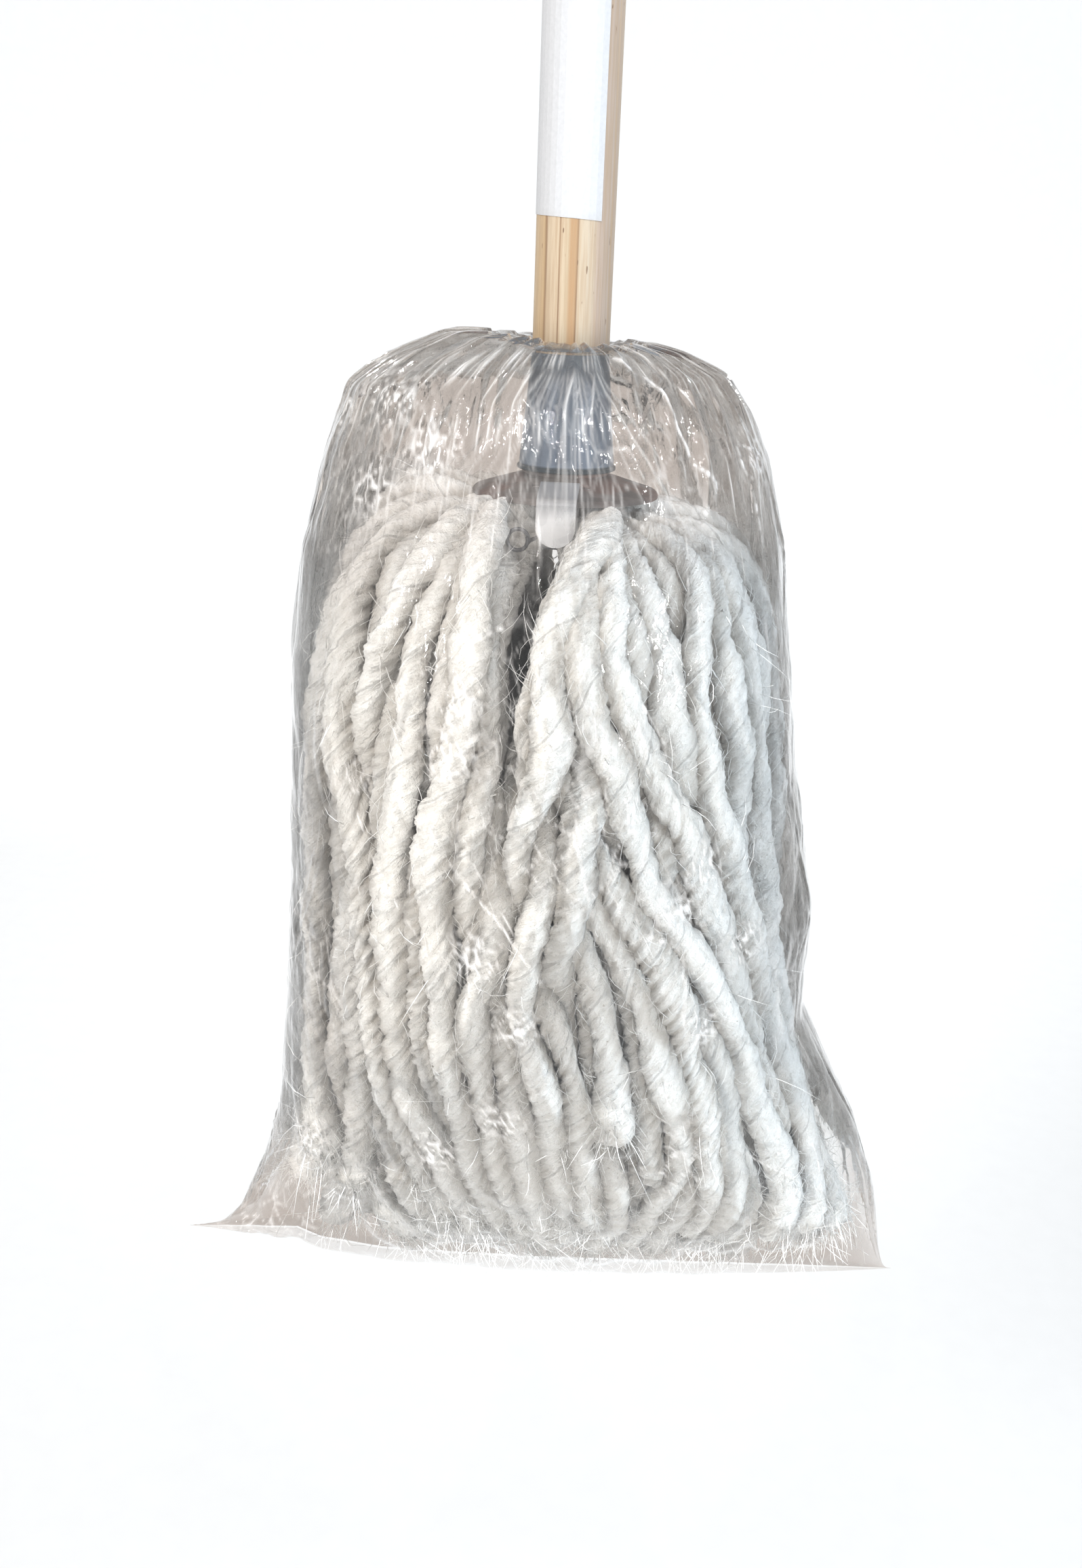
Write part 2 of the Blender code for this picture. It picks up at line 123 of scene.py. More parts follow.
# Bag, down from its neck: left edge (x, z), right edge (x, z), depth in front and behind
BAG_LEVELS = ((-0.0121, -0.0005, 0.0121, -0.0005, 0.0121, 0.0121),
              (-0.0150, 0.0002, 0.0150, 0.0002, 0.0148, 0.0148),
              (-0.026, 0.0040, 0.024, 0.0020, 0.022, 0.023), (-0.040, 0.0040, 0.037, -0.001, 0.030, 0.035),
              (-0.057, -0.003, 0.0505, -0.007, 0.040, 0.048), (-0.071, -0.012, 0.058, -0.016, 0.047, 0.058),
              (-0.079, -0.033, 0.066, -0.030, 0.055, 0.067), (-0.088, -0.064, 0.074, -0.061, 0.065, 0.075),
              (-0.092, -0.100, 0.080, -0.098, 0.075, 0.080), (-0.093, -0.140, 0.085, -0.136, 0.080, 0.082),
              (-0.094, -0.190, 0.095, -0.188, 0.080, 0.081), (-0.097, -0.235, 0.096, -0.230, 0.073, 0.076),
              (-0.101, -0.283, 0.121, -0.280, 0.056, 0.060), (-0.108, -0.308, 0.130, -0.304, 0.041, 0.045),
              (-0.117, -0.327, 0.136, -0.323, 0.026, 0.028), (-0.129, -0.338, 0.140, -0.339, 0.011, 0.012),
              (-0.139, -0.3425, 0.1435, -0.351, 0.0007, 0.0007))
SEAL_LINE = ((-0.139, -0.3425), (-0.096, -0.3415), (-0.086, -0.346), (-0.062, -0.350), (0.0, -0.352),
             (0.1425, -0.351))
BAG_AROUND = 720
BAG_DOWN = 280
PLEATS = 42
FINE_PLEATS = 120
FAN_LINES = 22
LONG_CREASES = 150
CRUSHED_PATCHES = 22           # seeded ones, at the sides and behind
FILM_CLEARANCE = 0.0021        # between the film and a strand's mean surface
# Creases in the front of the film, painted white as highlight lines: brightness, whether it is broken up,
# points (x, z)
CREASES = (
    (1.0, 0, ((0.0126, -0.001), (0.028, -0.010), (0.0373, -0.028), (0.046, -0.036), (0.0423, -0.0446))),
    (0.9, 1, ((0.0508, -0.020), (0.060, -0.045), (0.0684, -0.078))),
    (0.9, 0, ((-0.038, -0.139), (-0.031, -0.151), (-0.014, -0.171), (-0.002, -0.188))),
    (0.8, 1, ((-0.062, -0.140), (-0.055, -0.158), (-0.041, -0.179), (-0.024, -0.200))),
    (0.7, 1, ((-0.044, -0.094), (-0.019, -0.077), (0.014, -0.066))),
    (0.7, 0, ((0.0265, -0.171), (0.042, -0.180), (0.044, -0.207))),
    (0.6, 1, ((0.0238, -0.101), (0.026, -0.115), (0.032, -0.124), (0.037, -0.133))),
    (0.6, 1, ((0.0245, -0.098), (0.031, -0.108), (0.035, -0.120), (0.037, -0.133))),
    (0.7, 1, ((-0.132, -0.340), (-0.105, -0.322), (-0.090, -0.300))),
    (0.7, 1, ((-0.128, -0.341), (-0.098, -0.334), (-0.080, -0.318))))
# Crushed patches of film in front, finely faceted, with painted glints on the facets' edges: x, z and radius
GLINTS = ((-0.031, -0.100, 0.008), (-0.033, -0.115, 0.009), (-0.064, -0.130, 0.007), (0.048, -0.151, 0.008),
          (0.065, -0.182, 0.008), (0.053, -0.211, 0.007), (-0.084, -0.280, 0.009), (-0.024, -0.181, 0.009),
          (-0.010, -0.206, 0.008), (0.041, -0.165, 0.007), (-0.037, -0.267, 0.009), (-0.014, -0.247, 0.008),
          (-0.055, -0.014, 0.012), (-0.042, -0.028, 0.010), (-0.060, -0.040, 0.010), (0.060, -0.030, 0.009))


# ---------------------------------------------------------------- materials

class Nodes:
    """Short calls for building one material's node tree."""

    def __init__(self, name):
        self.material = bpy.data.materials.new(name)
        self.material.use_nodes = True
        self.tree = self.material.node_tree
        self.tree.nodes.clear()
        self.output = self.tree.nodes.new("ShaderNodeOutputMaterial")

    def add(self, kind, inputs=None, **settings):
        node = self.tree.nodes.new(kind)
        for key, value in settings.items():
            setattr(node, key, value)
        for key, value in (inputs or {}).items():
            self.put(node.inputs[key], value)
        return node

    def put(self, socket, value):
        if isinstance(value, bpy.types.NodeSocket):
            self.tree.links.new(value, socket)
        else:
            socket.default_value = value

    def place(self, scale=(1, 1, 1)):
        """Coordinates on the piece, in metres times a scale."""
        coordinates = self.add("ShaderNodeTexCoord")
        return self.stretched(coordinates.outputs["Object"], scale)

    def stretched(self, vector, scale):
        return self.add("ShaderNodeMapping", {"Vector": vector, "Scale": scale}).outputs[0]

    def axis(self, index):
        """How far along X, Y or Z a point of the piece is, in metres."""
        return self.add("ShaderNodeSeparateXYZ", {"Vector": self.place()}).outputs[index]

    def above(self, level, scale):
        """The height above a level, times a scale."""
        return self.math("MULTIPLY", self.math("SUBTRACT", self.axis(2), level), scale)

    def noise(self, vector, scale, detail=3.0, roughness=0.55):
        inputs = {"Vector": vector, "Scale": scale, "Detail": detail, "Roughness": roughness}
        return self.add("ShaderNodeTexNoise", inputs).outputs["Fac"]

    def attribute(self, name, output="Fac"):
        return self.add("ShaderNodeAttribute", attribute_name=name).outputs[output]

    def ramp(self, value, *stops):
        """Colour for a value; each stop is a position and a grey number or a colour."""
        node = self.add("ShaderNodeValToRGB", {"Fac": value})
        elements = node.color_ramp.elements
        while len(elements) < len(stops):
            elements.new(0.5)
        for element, (position, colour) in zip(elements, stops):
            element.position = position
            element.color = (*colour, 1) if isinstance(colour, tuple) else (colour, colour, colour, 1)
        return node.outputs["Color"]

    def math(self, operation, a, b=0.0, clamp=False):
        node = self.add("ShaderNodeMath", operation=operation, use_clamp=clamp)
        self.put(node.inputs[0], a)
        self.put(node.inputs[1], b)
        return node.outputs[0]

    def mix(self, share, a, b, blend="MIX"):
        node = self.add("ShaderNodeMix", data_type="RGBA", blend_type=blend)
        self.put(node.inputs["Factor"], share)
        for key, value in (("A", a), ("B", b)):
            socket = [s for s in node.inputs if s.name == key and s.type == "RGBA"][0]
            self.put(socket, (*value, 1) if isinstance(value, tuple) else value)
        return [s for s in node.outputs if s.type == "RGBA"][0]

    def bump(self, height, strength, distance, normal=None):
        inputs = {"Height": height, "Strength": strength, "Distance": distance}
        if normal is not None:
            inputs["Normal"] = normal
        return self.add("ShaderNodeBump", inputs).outputs["Normal"]

    def principled(self, **inputs):
        node = self.add("ShaderNodeBsdfPrincipled")
        for key, value in inputs.items():
            self.put(node.inputs[key.replace("_", " ")], value)
        return node

    def finish(self, shader):
        self.tree.links.new(shader.outputs[0], self.output.inputs["Surface"])
        return self.material


def cotton_material():
    """Soft off-white cotton: fibres along the strand and a few dark specks, with grey-brown painted shade in
    the ply grooves, where strands touch and on the inner strands.
    """
    n = Nodes("cotton")
    along = n.attribute("strand_place", "Vector")
    fibres = n.noise(n.stretched(along, (90, 900, 1)), 1.0, 4.0, 0.6)
    wool = n.noise(n.place(), 340, 5.0, 0.7)
    patches = n.noise(n.place(), 34, 2.0)
    # painted shade: groove depth and contact with other strands darken the cotton towards grey-brown
    groove = n.math("ADD", n.math("MULTIPLY", n.attribute("groove"), 0.5),
                    n.math("MULTIPLY", n.attribute("buried"), 0.8))
    base = n.ramp(patches, (0.30, (0.90, 0.885, 0.86)), (0.55, (0.95, 0.945, 0.93)),
                  (0.75, (0.96, 0.96, 0.955)))
    fine = n.mix(n.ramp(fibres, (0.35, 0.40), (0.6, 0.0)), base, (0.78, 0.75, 0.71))
    fine = n.mix(n.ramp(wool, (0.36, 0.50), (0.52, 0.0)), fine, (0.72, 0.69, 0.65))
    shaded = n.mix(n.math("MULTIPLY", groove, 0.8, clamp=True), fine, (0.36, 0.325, 0.285))
    specks = n.ramp(n.noise(n.place(), 620, 1.0), (0.765, 0.0), (0.79, 0.6))
    colour = n.mix(specks, shaded, (0.34, 0.28, 0.22))
    rough = n.bump(wool, 0.9, 0.0016)
    normal = n.bump(fibres, 0.7, 0.0006, rough)
    shader = n.principled(Base_Color=colour, Normal=normal, Roughness=0.95)
    shader.inputs["Sheen Weight"].default_value = 0.35
    shader.inputs["Sheen Roughness"].default_value = 0.6
    shader.inputs["Specular IOR Level"].default_value = 0.15
    return n.finish(shader)


def fibre_material():
    """Loose cotton fibres, a little uneven in whiteness."""
    n = Nodes("loose_fibre")
    colour = n.ramp(n.noise(n.place(), 150), (0.3, (0.90, 0.89, 0.87)), (0.7, (0.96, 0.96, 0.955)))
    shader = n.principled(Base_Color=colour, Roughness=0.8)
    shader.inputs["Specular IOR Level"].default_value = 0.2
    return n.finish(shader)


def film_material():
    """Clear polythene: nearly clear where it lies on the yarn, hazy where it stands away, with painted shade
    there: a taupe tint, darkest behind, for dim surroundings seen through it.
    """
    n = Nodes("clear_film")
    slack = n.attribute("slack")
    crease = n.attribute("crease")
    dust = n.noise(n.place(), 60, 3.0)
    # painted shade: a taupe tint where the film stands away, darker on the back half, stands in for dim
    # surroundings seen through it
    empty = n.mix(n.attribute("behind"), (0.93, 0.91, 0.895), (0.51, 0.445, 0.40))
    edge_on = n.add("ShaderNodeLayerWeight", {"Blend": 0.5}).outputs["Facing"]
    empty = n.mix(n.ramp(edge_on, (0.72, 0.0), (0.95, 0.85)), empty, (0.95, 0.945, 0.94))
    tint = n.mix(slack, (0.985, 0.985, 0.98), empty)
    clear = n.add("ShaderNodeBsdfTransparent", {"Color": tint})
    wrinkle = n.noise(n.place((1, 1, 0.45)), 210, 3.0, 0.6)
    crinkle = n.add("ShaderNodeTexVoronoi", {"Vector": n.place((1, 1, 0.6)), "Scale": 170.0},
                    feature="DISTANCE_TO_EDGE").outputs["Distance"]
    scuffs = n.ramp(n.noise(n.place((1, 1, 0.2)), 520, 2.0), (0.60, 0.0), (0.72, 1.0))
    crushed = n.bump(crinkle, 0.22, 0.0012, n.bump(wrinkle, 0.35, 0.0008))
    normal = n.bump(scuffs, 0.18, 0.0004, crushed)
    # painted highlight: the creases' brightness turns the film's surface white and lets more of it show
    haze_and_glint_colour = n.mix(crease, n.mix(dust, (0.58, 0.53, 0.49), (0.72, 0.68, 0.65)), (0.95, 0.95, 0.95))
    skin = n.principled(Base_Color=haze_and_glint_colour, Normal=normal, Roughness=0.09)
    skin.inputs["Specular IOR Level"].default_value = 1.0
    gloss = n.add("ShaderNodeBsdfGlossy", {"Color": (1, 1, 1, 1), "Roughness": 0.04, "Normal": normal})
    fresnel = n.add("ShaderNodeFresnel", {"IOR": 1.5, "Normal": normal}).outputs[0]
    whiteness = n.math("ADD", n.math("MULTIPLY", slack, 0.045), n.math("MULTIPLY", crease, 0.8), clamp=True)
    haze_and_glint_mix = n.add("ShaderNodeMixShader", {0: whiteness})
    n.put(haze_and_glint_mix.inputs[1], clear.outputs[0])
    n.put(haze_and_glint_mix.inputs[2], skin.outputs[0])
    dull_seal = n.math("MULTIPLY", n.attribute("seal"), 1.35)
    shine = n.math("MULTIPLY", fresnel, n.math("SUBTRACT", 1.5, dull_seal))
    film = n.add("ShaderNodeMixShader", {0: n.math("MINIMUM", shine, 1.0)})
    n.put(film.inputs[1], haze_and_glint_mix.outputs[0])
    n.put(film.inputs[2], gloss.outputs[0])
    return n.finish(film)


def wood_material():
    """Pine in near-flat growth layers across X: brown lines, a streak, then cream and pinkish beige."""
    n = Nodes("pine")
    warp = n.noise(n.place((1, 1, 0.06)), 70, 2.0)
    layer = n.math("ADD", n.math("ADD", n.axis(0), n.math("MULTIPLY", n.axis(1), 0.2)),
                   n.math("MULTIPLY", n.math("SUBTRACT", warp, 0.5), 0.0035))
    across = n.math("ADD", n.math("MULTIPLY", layer, 36.0), 0.5)
    cream, line = (0.43, 0.345, 0.25), (0.15, 0.08, 0.04)
    tan, pink = (0.33, 0.205, 0.11), (0.36, 0.285, 0.235)
    base = n.ramp(across, (0.0, cream), (0.10, (0.44, 0.32, 0.19)), (0.115, line), (0.13, cream),
                  (0.225, cream), (0.24, line), (0.255, cream), (0.33, (0.40, 0.33, 0.235)), (0.36, tan),
                  (0.415, tan), (0.435, line), (0.45, (0.42, 0.35, 0.265)), (0.62, (0.41, 0.345, 0.27)),
                  (0.68, pink), (0.83, (0.37, 0.30, 0.25)), (0.85, (0.39, 0.29, 0.20)), (0.87, pink),
                  (1.0, cream))
    streaks = n.noise(n.place((1, 1, 0.035)), 1300, 3.0, 0.6)
    grained = n.mix(n.ramp(streaks, (0.42, 0.45), (0.62, 0.0)), base, (0.32, 0.225, 0.14))
    flecks = n.ramp(n.noise(n.place((1, 1, 0.22)), 900, 1.0), (0.74, 0.0), (0.775, 0.85))
    colour = n.mix(flecks, grained, (0.13, 0.075, 0.045))
    normal = n.bump(streaks, 0.25, 0.0003)
    rough = n.ramp(streaks, (0.3, 0.62), (0.7, 0.5))
    shader = n.principled(Base_Color=colour, Normal=normal, Roughness=rough)
    return n.finish(shader)


def paper_material():
    """Blank white paper, faintly mottled and a little darker for a few millimetres at its lower edge."""
    n = Nodes("label_paper")
    pulp = n.noise(n.place(), 900, 3.0)
    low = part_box("handle_label")[0][2]
    edge = n.ramp(n.above(low, 120.0), (0.0, 0.35), (0.4, 0.0))
    paper = n.ramp(pulp, (0.3, (0.43, 0.435, 0.45)), (0.7, (0.47, 0.475, 0.49)))
    shader = n.principled(Base_Color=n.mix(edge, paper, (0.36, 0.35, 0.35)), Roughness=0.55,
                          Normal=n.bump(pulp, 0.15, 0.0002))
    return n.finish(shader)


def steel_material(name, dark, light, metallic, rough, spangle=180.0, stain=None):
    """Coated sheet steel with patchy crystals, smears and fine scratches."""
    n = Nodes(name)
    cells = n.add("ShaderNodeTexVoronoi", {"Vector": n.place(), "Scale": spangle}).outputs["Color"]
    smear = n.noise(n.place((1, 1, 0.4)), 90, 4.0)
    scratch = n.noise(n.place((1, 1, 9.0)), 320, 2.0)
    shade = n.mix(0.35, smear, cells)
    colour = n.ramp(shade, (0.3, dark), (0.7, light))
    if stain:
        colour = n.mix(n.ramp(n.noise(n.place(), 55), (0.46, 0.0), (0.60, 0.8)), colour, stain)
    uneven = n.ramp(smear, (0.3, rough - 0.08), (0.7, rough + 0.10))
    shader = n.principled(Base_Color=colour, Roughness=uneven, Normal=n.bump(scratch, 0.12, 0.0002))
    shader.inputs["Metallic"].default_value = metallic
    return n, shader


def shaded_above(n, shader, level):
    """The same steel with painted shade above a level: greyer there."""
    # painted shade: grey above the level
    painted_shade_share = n.ramp(n.above(level, 250.0), (0.0, 0.0), (1.0, 0.75))
    plain = shader.inputs["Base Color"].links[0].from_socket
    n.put(shader.inputs["Base Color"], n.mix(painted_shade_share, plain, (0.30, 0.31, 0.33)))
    return n.finish(shader)


def socket_material():
    """Blue-grey zinc, with a painted shadow at its base where it stands on the plate: nearly black there."""
    dark, light = (0.12, 0.16, 0.225), (0.27, 0.335, 0.42)
    n, shader = steel_material("galvanised_steel", dark, light, 0.75, 0.34)
    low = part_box("socket_ferrule")[0][2]
    # painted shadow along the lowest 2 mm, where the socket meets the plate
    painted_base_shadow = n.ramp(n.above(low, 60.0), (0.0, 1.0), (0.10, 0.9), (0.14, 0.0))
    plain = shader.inputs["Base Color"].links[0].from_socket
    n.put(shader.inputs["Base Color"], n.mix(painted_base_shadow, plain, (0.015, 0.035, 0.05)))
    return n.finish(shader)


# ---------------------------------------------------------------- meshes

def add_mesh(name, points, faces, material, smooth=True):
    mesh = bpy.data.meshes.new(name)
    mesh.from_pydata(np.asarray(points, float).tolist(), [], faces)
    mesh.validate()
    if smooth:
        mesh.shade_smooth()
    mesh.materials.append(material)
    obj = bpy.data.objects.new(name, mesh)
    bpy.context.scene.collection.objects.link(obj)
    return obj


def set_values(obj, name, values):
    """Stores a number or a vector for every vertex."""
    values = np.asarray(values, np.float32)
    kind = "FLOAT_VECTOR" if values.ndim == 2 else "FLOAT"
    layer = obj.data.attributes.new(name, kind, "POINT")
    layer.data.foreach_set("vector" if values.ndim == 2 else "value", values.ravel())


def smoothstep(x):
    x = np.clip(x, 0, 1)
    return x * x * (3 - 2 * x)


def by_length(points):
    return np.concatenate(([0], np.cumsum(np.linalg.norm(np.diff(points, axis=0), axis=1))))


def respaced(points, count):
    """The same route as evenly spaced points."""
    run = by_length(points)
    at = np.linspace(0, run[-1], count)
    return np.stack([np.interp(at, run, points[:, k]) for k in range(3)], axis=1)


def smooth_route(points, count):
    """A Catmull-Rom curve through the points, evenly spaced."""
    ends = np.vstack((2 * points[0] - points[1], points, 2 * points[-1] - points[-2]))
    fine = []
    for i in range(1, len(ends) - 2):
        a, b, c, d = ends[i - 1], ends[i], ends[i + 1], ends[i + 2]
        for t in np.linspace(0, 1, 6, endpoint=False):
            fine.append(0.5 * (2 * b + (c - a) * t + (2 * a - 5 * b + 4 * c - d) * t ** 2
                               + (3 * b - a - 3 * c + d) * t ** 3))
    fine.append(points[-1])
    return respaced(np.array(fine), count)


def ring_faces(rings, around):
    """Quads between rings of points, each ring closed."""
    faces = []
    for i in range(rings - 1):
        for j in range(around):
            k = (j + 1) % around
            faces.append((i * around + j, i * around + k, (i + 1) * around + k, (i + 1) * around + j))
    return faces


def moved_faces(faces, offset):
    """The same faces on points that come after others."""
    return [tuple(v + offset for v in face) for face in faces]


def frames_along(route):
    """Tangent, normal and side vectors that turn as little as they can along a route."""
    tangents = np.gradient(route, axis=0)
    tangents /= np.linalg.norm(tangents, axis=1, keepdims=True)
    normals = np.zeros_like(route)
    first = np.cross(tangents[0], (0.0, 0.0, 1.0))
    normals[0] = first / np.linalg.norm(first)
    for i in range(1, len(route)):
        n = normals[i - 1] - tangents[i] * (normals[i - 1] @ tangents[i])
        normals[i] = n / np.linalg.norm(n)
    return tangents, normals, np.cross(tangents, normals)


# ---------------------------------------------------------------- yarn

def skirt_columns(depths):
    """Half widths, half depths, shifts, heights and closing, for a depth in the skirt at each level."""
    outer, inner = np.array(OUTER_SKIRT), np.array(INNER_SKIRT)
    rows = [outer[i] * (1 - depth) + inner[i] * depth for i, depth in enumerate(depths)]
    return np.array(rows).T


def skirt_route(a, b, shift, z, angle):
    """Points on the skirt's ellipses at an angle for each level."""
    return np.stack((a * np.cos(angle) + shift, b * np.sin(angle), z), axis=1)


def wander(rng, count, size, bends=3):
    """A slow random curve from 0 along a strand."""
    knots = np.concatenate(([0, 0], rng.uniform(-size, size, bends)))
    return np.interp(np.linspace(0, 1, count), np.linspace(0, 1, bends + 2), knots)


def random_wave(rng):
    """Size, pitch and phase of the slow sideways wave along one strand."""
    return rng.uniform(0.0015, 0.0045), rng.uniform(0.05, 0.10), rng.uniform(0, 2 * math.pi)


def bundle_of(side, share):
    """The CAD bundle that stands for a strand, from its place round its side, 0 in front to 1 behind."""
    place = min(int(share * BUNDLES / 2), BUNDLES // 2 - 1)
    return BUNDLES - 1 - place if side else place


def front_guides(rng):
    """Routes of the strands in front, which follow the given list."""
    heights = np.array(OUTER_SKIRT)[:, 3]
    guides = []
    for side, across, above, below, length in FRONT_STRANDS:
        depths = above + (below - above) * smoothstep((-0.105 - heights) / 0.055)
        a, b, shift, z, _ = skirt_columns(depths)
        x = np.interp(-z, -np.array(FRONT_HEIGHTS), across)
        angle = -np.arccos(np.clip((x - shift) / a, -0.985, 0.985))
        angle[:4] = angle[4]
        clear = CLEFT * np.array(CLEFT_OPEN)
        angle = np.minimum(angle, -math.pi / 2 - clear) if side else np.maximum(angle, -math.pi / 2 + clear)
        share = (-math.pi / 2 - angle[5] if side else angle[5] + math.pi / 2) / math.pi
        guides.append({"route": skirt_route(a, b, shift, z, angle), "length": length, "layer": 0,
                       "bundle": bundle_of(side, max(share, 0)), "wave": random_wave(rng)})
    return guides


def strand_guides():
    """A first route for every strand: out from under the plate, over and down, with drift and waves."""
    rng = np.random.default_rng(SEED)
    rows = len(OUTER_SKIRT)
    down = np.linspace(0, 1, rows)
    guides = front_guides(rng)
    for side in (0, 1):
        for layer, (count, depth) in enumerate(LAYERS):
            for k in range(count):
                share = (k + 0.5 + rng.uniform(-0.25, 0.25)) / count
                if layer == 0:
                    share = 0.5 + 0.5 * share
                front = math.exp(-(share / 0.30) ** 2)
                rise = 0.0 if layer == 0 else -0.5 * depth * front
                depths = depth + (rise + wander(rng, rows, 0.22)) * smoothstep((down - 0.3) / 0.4)
                a, b, shift, z, closed = skirt_columns(np.clip(depths, -0.05, 1))
                near = -math.pi / 2 + CLEFT * (1 - closed * (0.6 if layer else 1.0))
                far = math.pi / 2 - CLEFT * (1 - np.minimum(closed * 2.2, 1))
                angle = near + (far - near) * share
                drift = math.radians(rng.uniform(-14, 14)) * smoothstep((down - 0.25) / 0.75)
                angle = angle + drift + np.radians(wander(rng, rows, 9))
                if side:
                    angle = math.pi - angle
                back_left = np.exp(-((angle - math.radians(150)) / math.radians(26)) ** 2)
                arch = np.interp(down, (0.18, 0.32, 0.42, 0.62), (0, 1, 1, 0))
                lift = 0.017 * back_left * arch * (layer == 0)
                length = STRAND_LENGTH - 0.008 * (layer > 0) + rng.uniform(-0.012, 0.010)
                guides.append({"route": skirt_route(a, b, shift, z + lift, angle), "length": length,
                               "layer": layer, "bundle": bundle_of(side, share), "wave": random_wave(rng)})
    return guides


def waved(route, wave, run):
    """A route with a slow sideways wave, none at its root."""
    size, pitch, phase = wave
    tangents = np.gradient(route, axis=0)
    sideways = np.cross(tangents, (route[:, 0:1] * (1, 0, 0) + route[:, 1:2] * (0, 1, 0)))
    sideways /= np.linalg.norm(sideways, axis=1, keepdims=True) + 1e-9
    amount = size * np.sin(2 * math.pi * run / pitch + phase) * smoothstep((run / run[-1] - 0.15) / 0.3)
    return route + sideways * amount[:, None]


def bag_extent(z):
    """The bag's left edge, right edge and mean depth at a height, for keeping the yarn inside it."""
    levels = np.array(BAG_LEVELS[5:])[::-1]
    left = np.interp(z, levels[:, 1], levels[:, 0])
    right = np.interp(z, levels[:, 3], levels[:, 2])
    return left, right, np.interp(z, levels[:, 1], levels[:, 4])


def close_pairs(points, strand, reach):
    """Index pairs of points on different strands that are nearer than reach."""
    p = points.astype(np.float32)
    square = (p * p).sum(axis=1)
    first, second = [], []
    step = 512
    for start in range(0, len(p), step):
        block = slice(start, start + step)
        gap = square[block, None] + square[None, :] - 2 * p[block] @ p.T
        i, j = np.nonzero(gap < reach * reach)
        i += start
        keep = (i < j) & (strand[i] != strand[j])
        first.append(i[keep])
        second.append(j[keep])
    return np.concatenate(first), np.concatenate(second)


def settle(guides, rounds=150):
    """Lets the strands hang: each keeps its length, they push each other apart and stay inside the bag."""
    count = STRAND_POINTS
    lengths = np.array([g["length"] for g in guides])
    start = np.array([waved(respaced(g["route"], count), g["wave"], np.linspace(0, g["length"], count))
                      for g in guides])
    points = start.copy()
    pinned = PINNED_POINTS
    spacing = lengths / (count - 1)
    strand = np.repeat(np.arange(len(guides)), count)
    grown = np.interp(np.linspace(0, 1, count), (0.0, 0.12, 0.25), (0.25, 0.6, 1.0))
    width = np.tile(grown, len(guides)) * STRAND_DIAMETER * 0.93
    margin = STRAND_DIAMETER * 0.5 + 0.0015
    plate_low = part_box("top_plate")[0][2] - JUNCTION
    plate_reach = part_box("top_plate")[1][0] + margin
    first = second = None
    for turn in range(rounds):
        flat = points.reshape(-1, 3)
        if turn % 10 == 0:
            first, second = close_pairs(flat, strand, STRAND_DIAMETER * 1.7)
        gap = flat[first] - flat[second]
        distance = np.linalg.norm(gap, axis=1) + 1e-9
        least = 0.5 * (width[first] + width[second])
        push = np.clip(least - distance, 0, None) * 0.35
        move = gap / distance[:, None] * push[:, None]
        total = len(flat)
        for k in range(3):
            flat[:, k] += np.bincount(first, move[:, k], total) - np.bincount(second, move[:, k], total)
        points = flat.reshape(len(guides), count, 3)
        points[:, pinned:, 2] -= 0.00012
        points[:, 1:-1] += 0.12 * (0.5 * (points[:, :-2] + points[:, 2:]) - points[:, 1:-1])
        points[:, pinned:] += 0.02 * (start[:, pinned:] - points[:, pinned:])
        left, right, deep = bag_extent(points[:, :, 2])
        centre, half = (left + right) / 2, (right - left) / 2 - margin
        depth = np.maximum(deep - margin, 0.004)
        ratio = np.sqrt(((points[:, :, 0] - centre) / half) ** 2 + (points[:, :, 1] / depth) ** 2)
        pull = np.where(ratio > 1, 1 / ratio, 1)
        points[:, :, 0] = centre + (points[:, :, 0] - centre) * pull
        points[:, :, 1] *= pull
        under = np.hypot(points[:, :, 0], points[:, :, 1]) < plate_reach
        ceiling = plate_low - margin * np.tile(grown, (len(guides), 1))
        points[:, :, 2] = np.where(under, np.minimum(points[:, :, 2], ceiling), points[:, :, 2])
        aside, above = points[:, :, 0] - WIRE_EYE[0], points[:, :, 2] - WIRE_EYE[2]
        reach = np.sqrt(np.clip(EYE_ROOM ** 2 - above ** 2, 0, None))
        in_front = (points[:, :, 1] < WIRE_EYE[1] + 0.016) & (aside < 0.006) & (np.abs(above) < EYE_ROOM)
        left_of_eye = np.minimum(points[:, :, 0], WIRE_EYE[0] - reach)
        points[:, :, 0] = np.where(in_front, left_of_eye, points[:, :, 0])
        points[:, :2] = start[:, :2]
        for i in range(1, count):
            step = points[:, i] - points[:, i - 1]
            step = step / np.linalg.norm(step, axis=1, keepdims=True) * spacing[:, None]
            points[:, i] = points[:, i - 1] + step
    return points


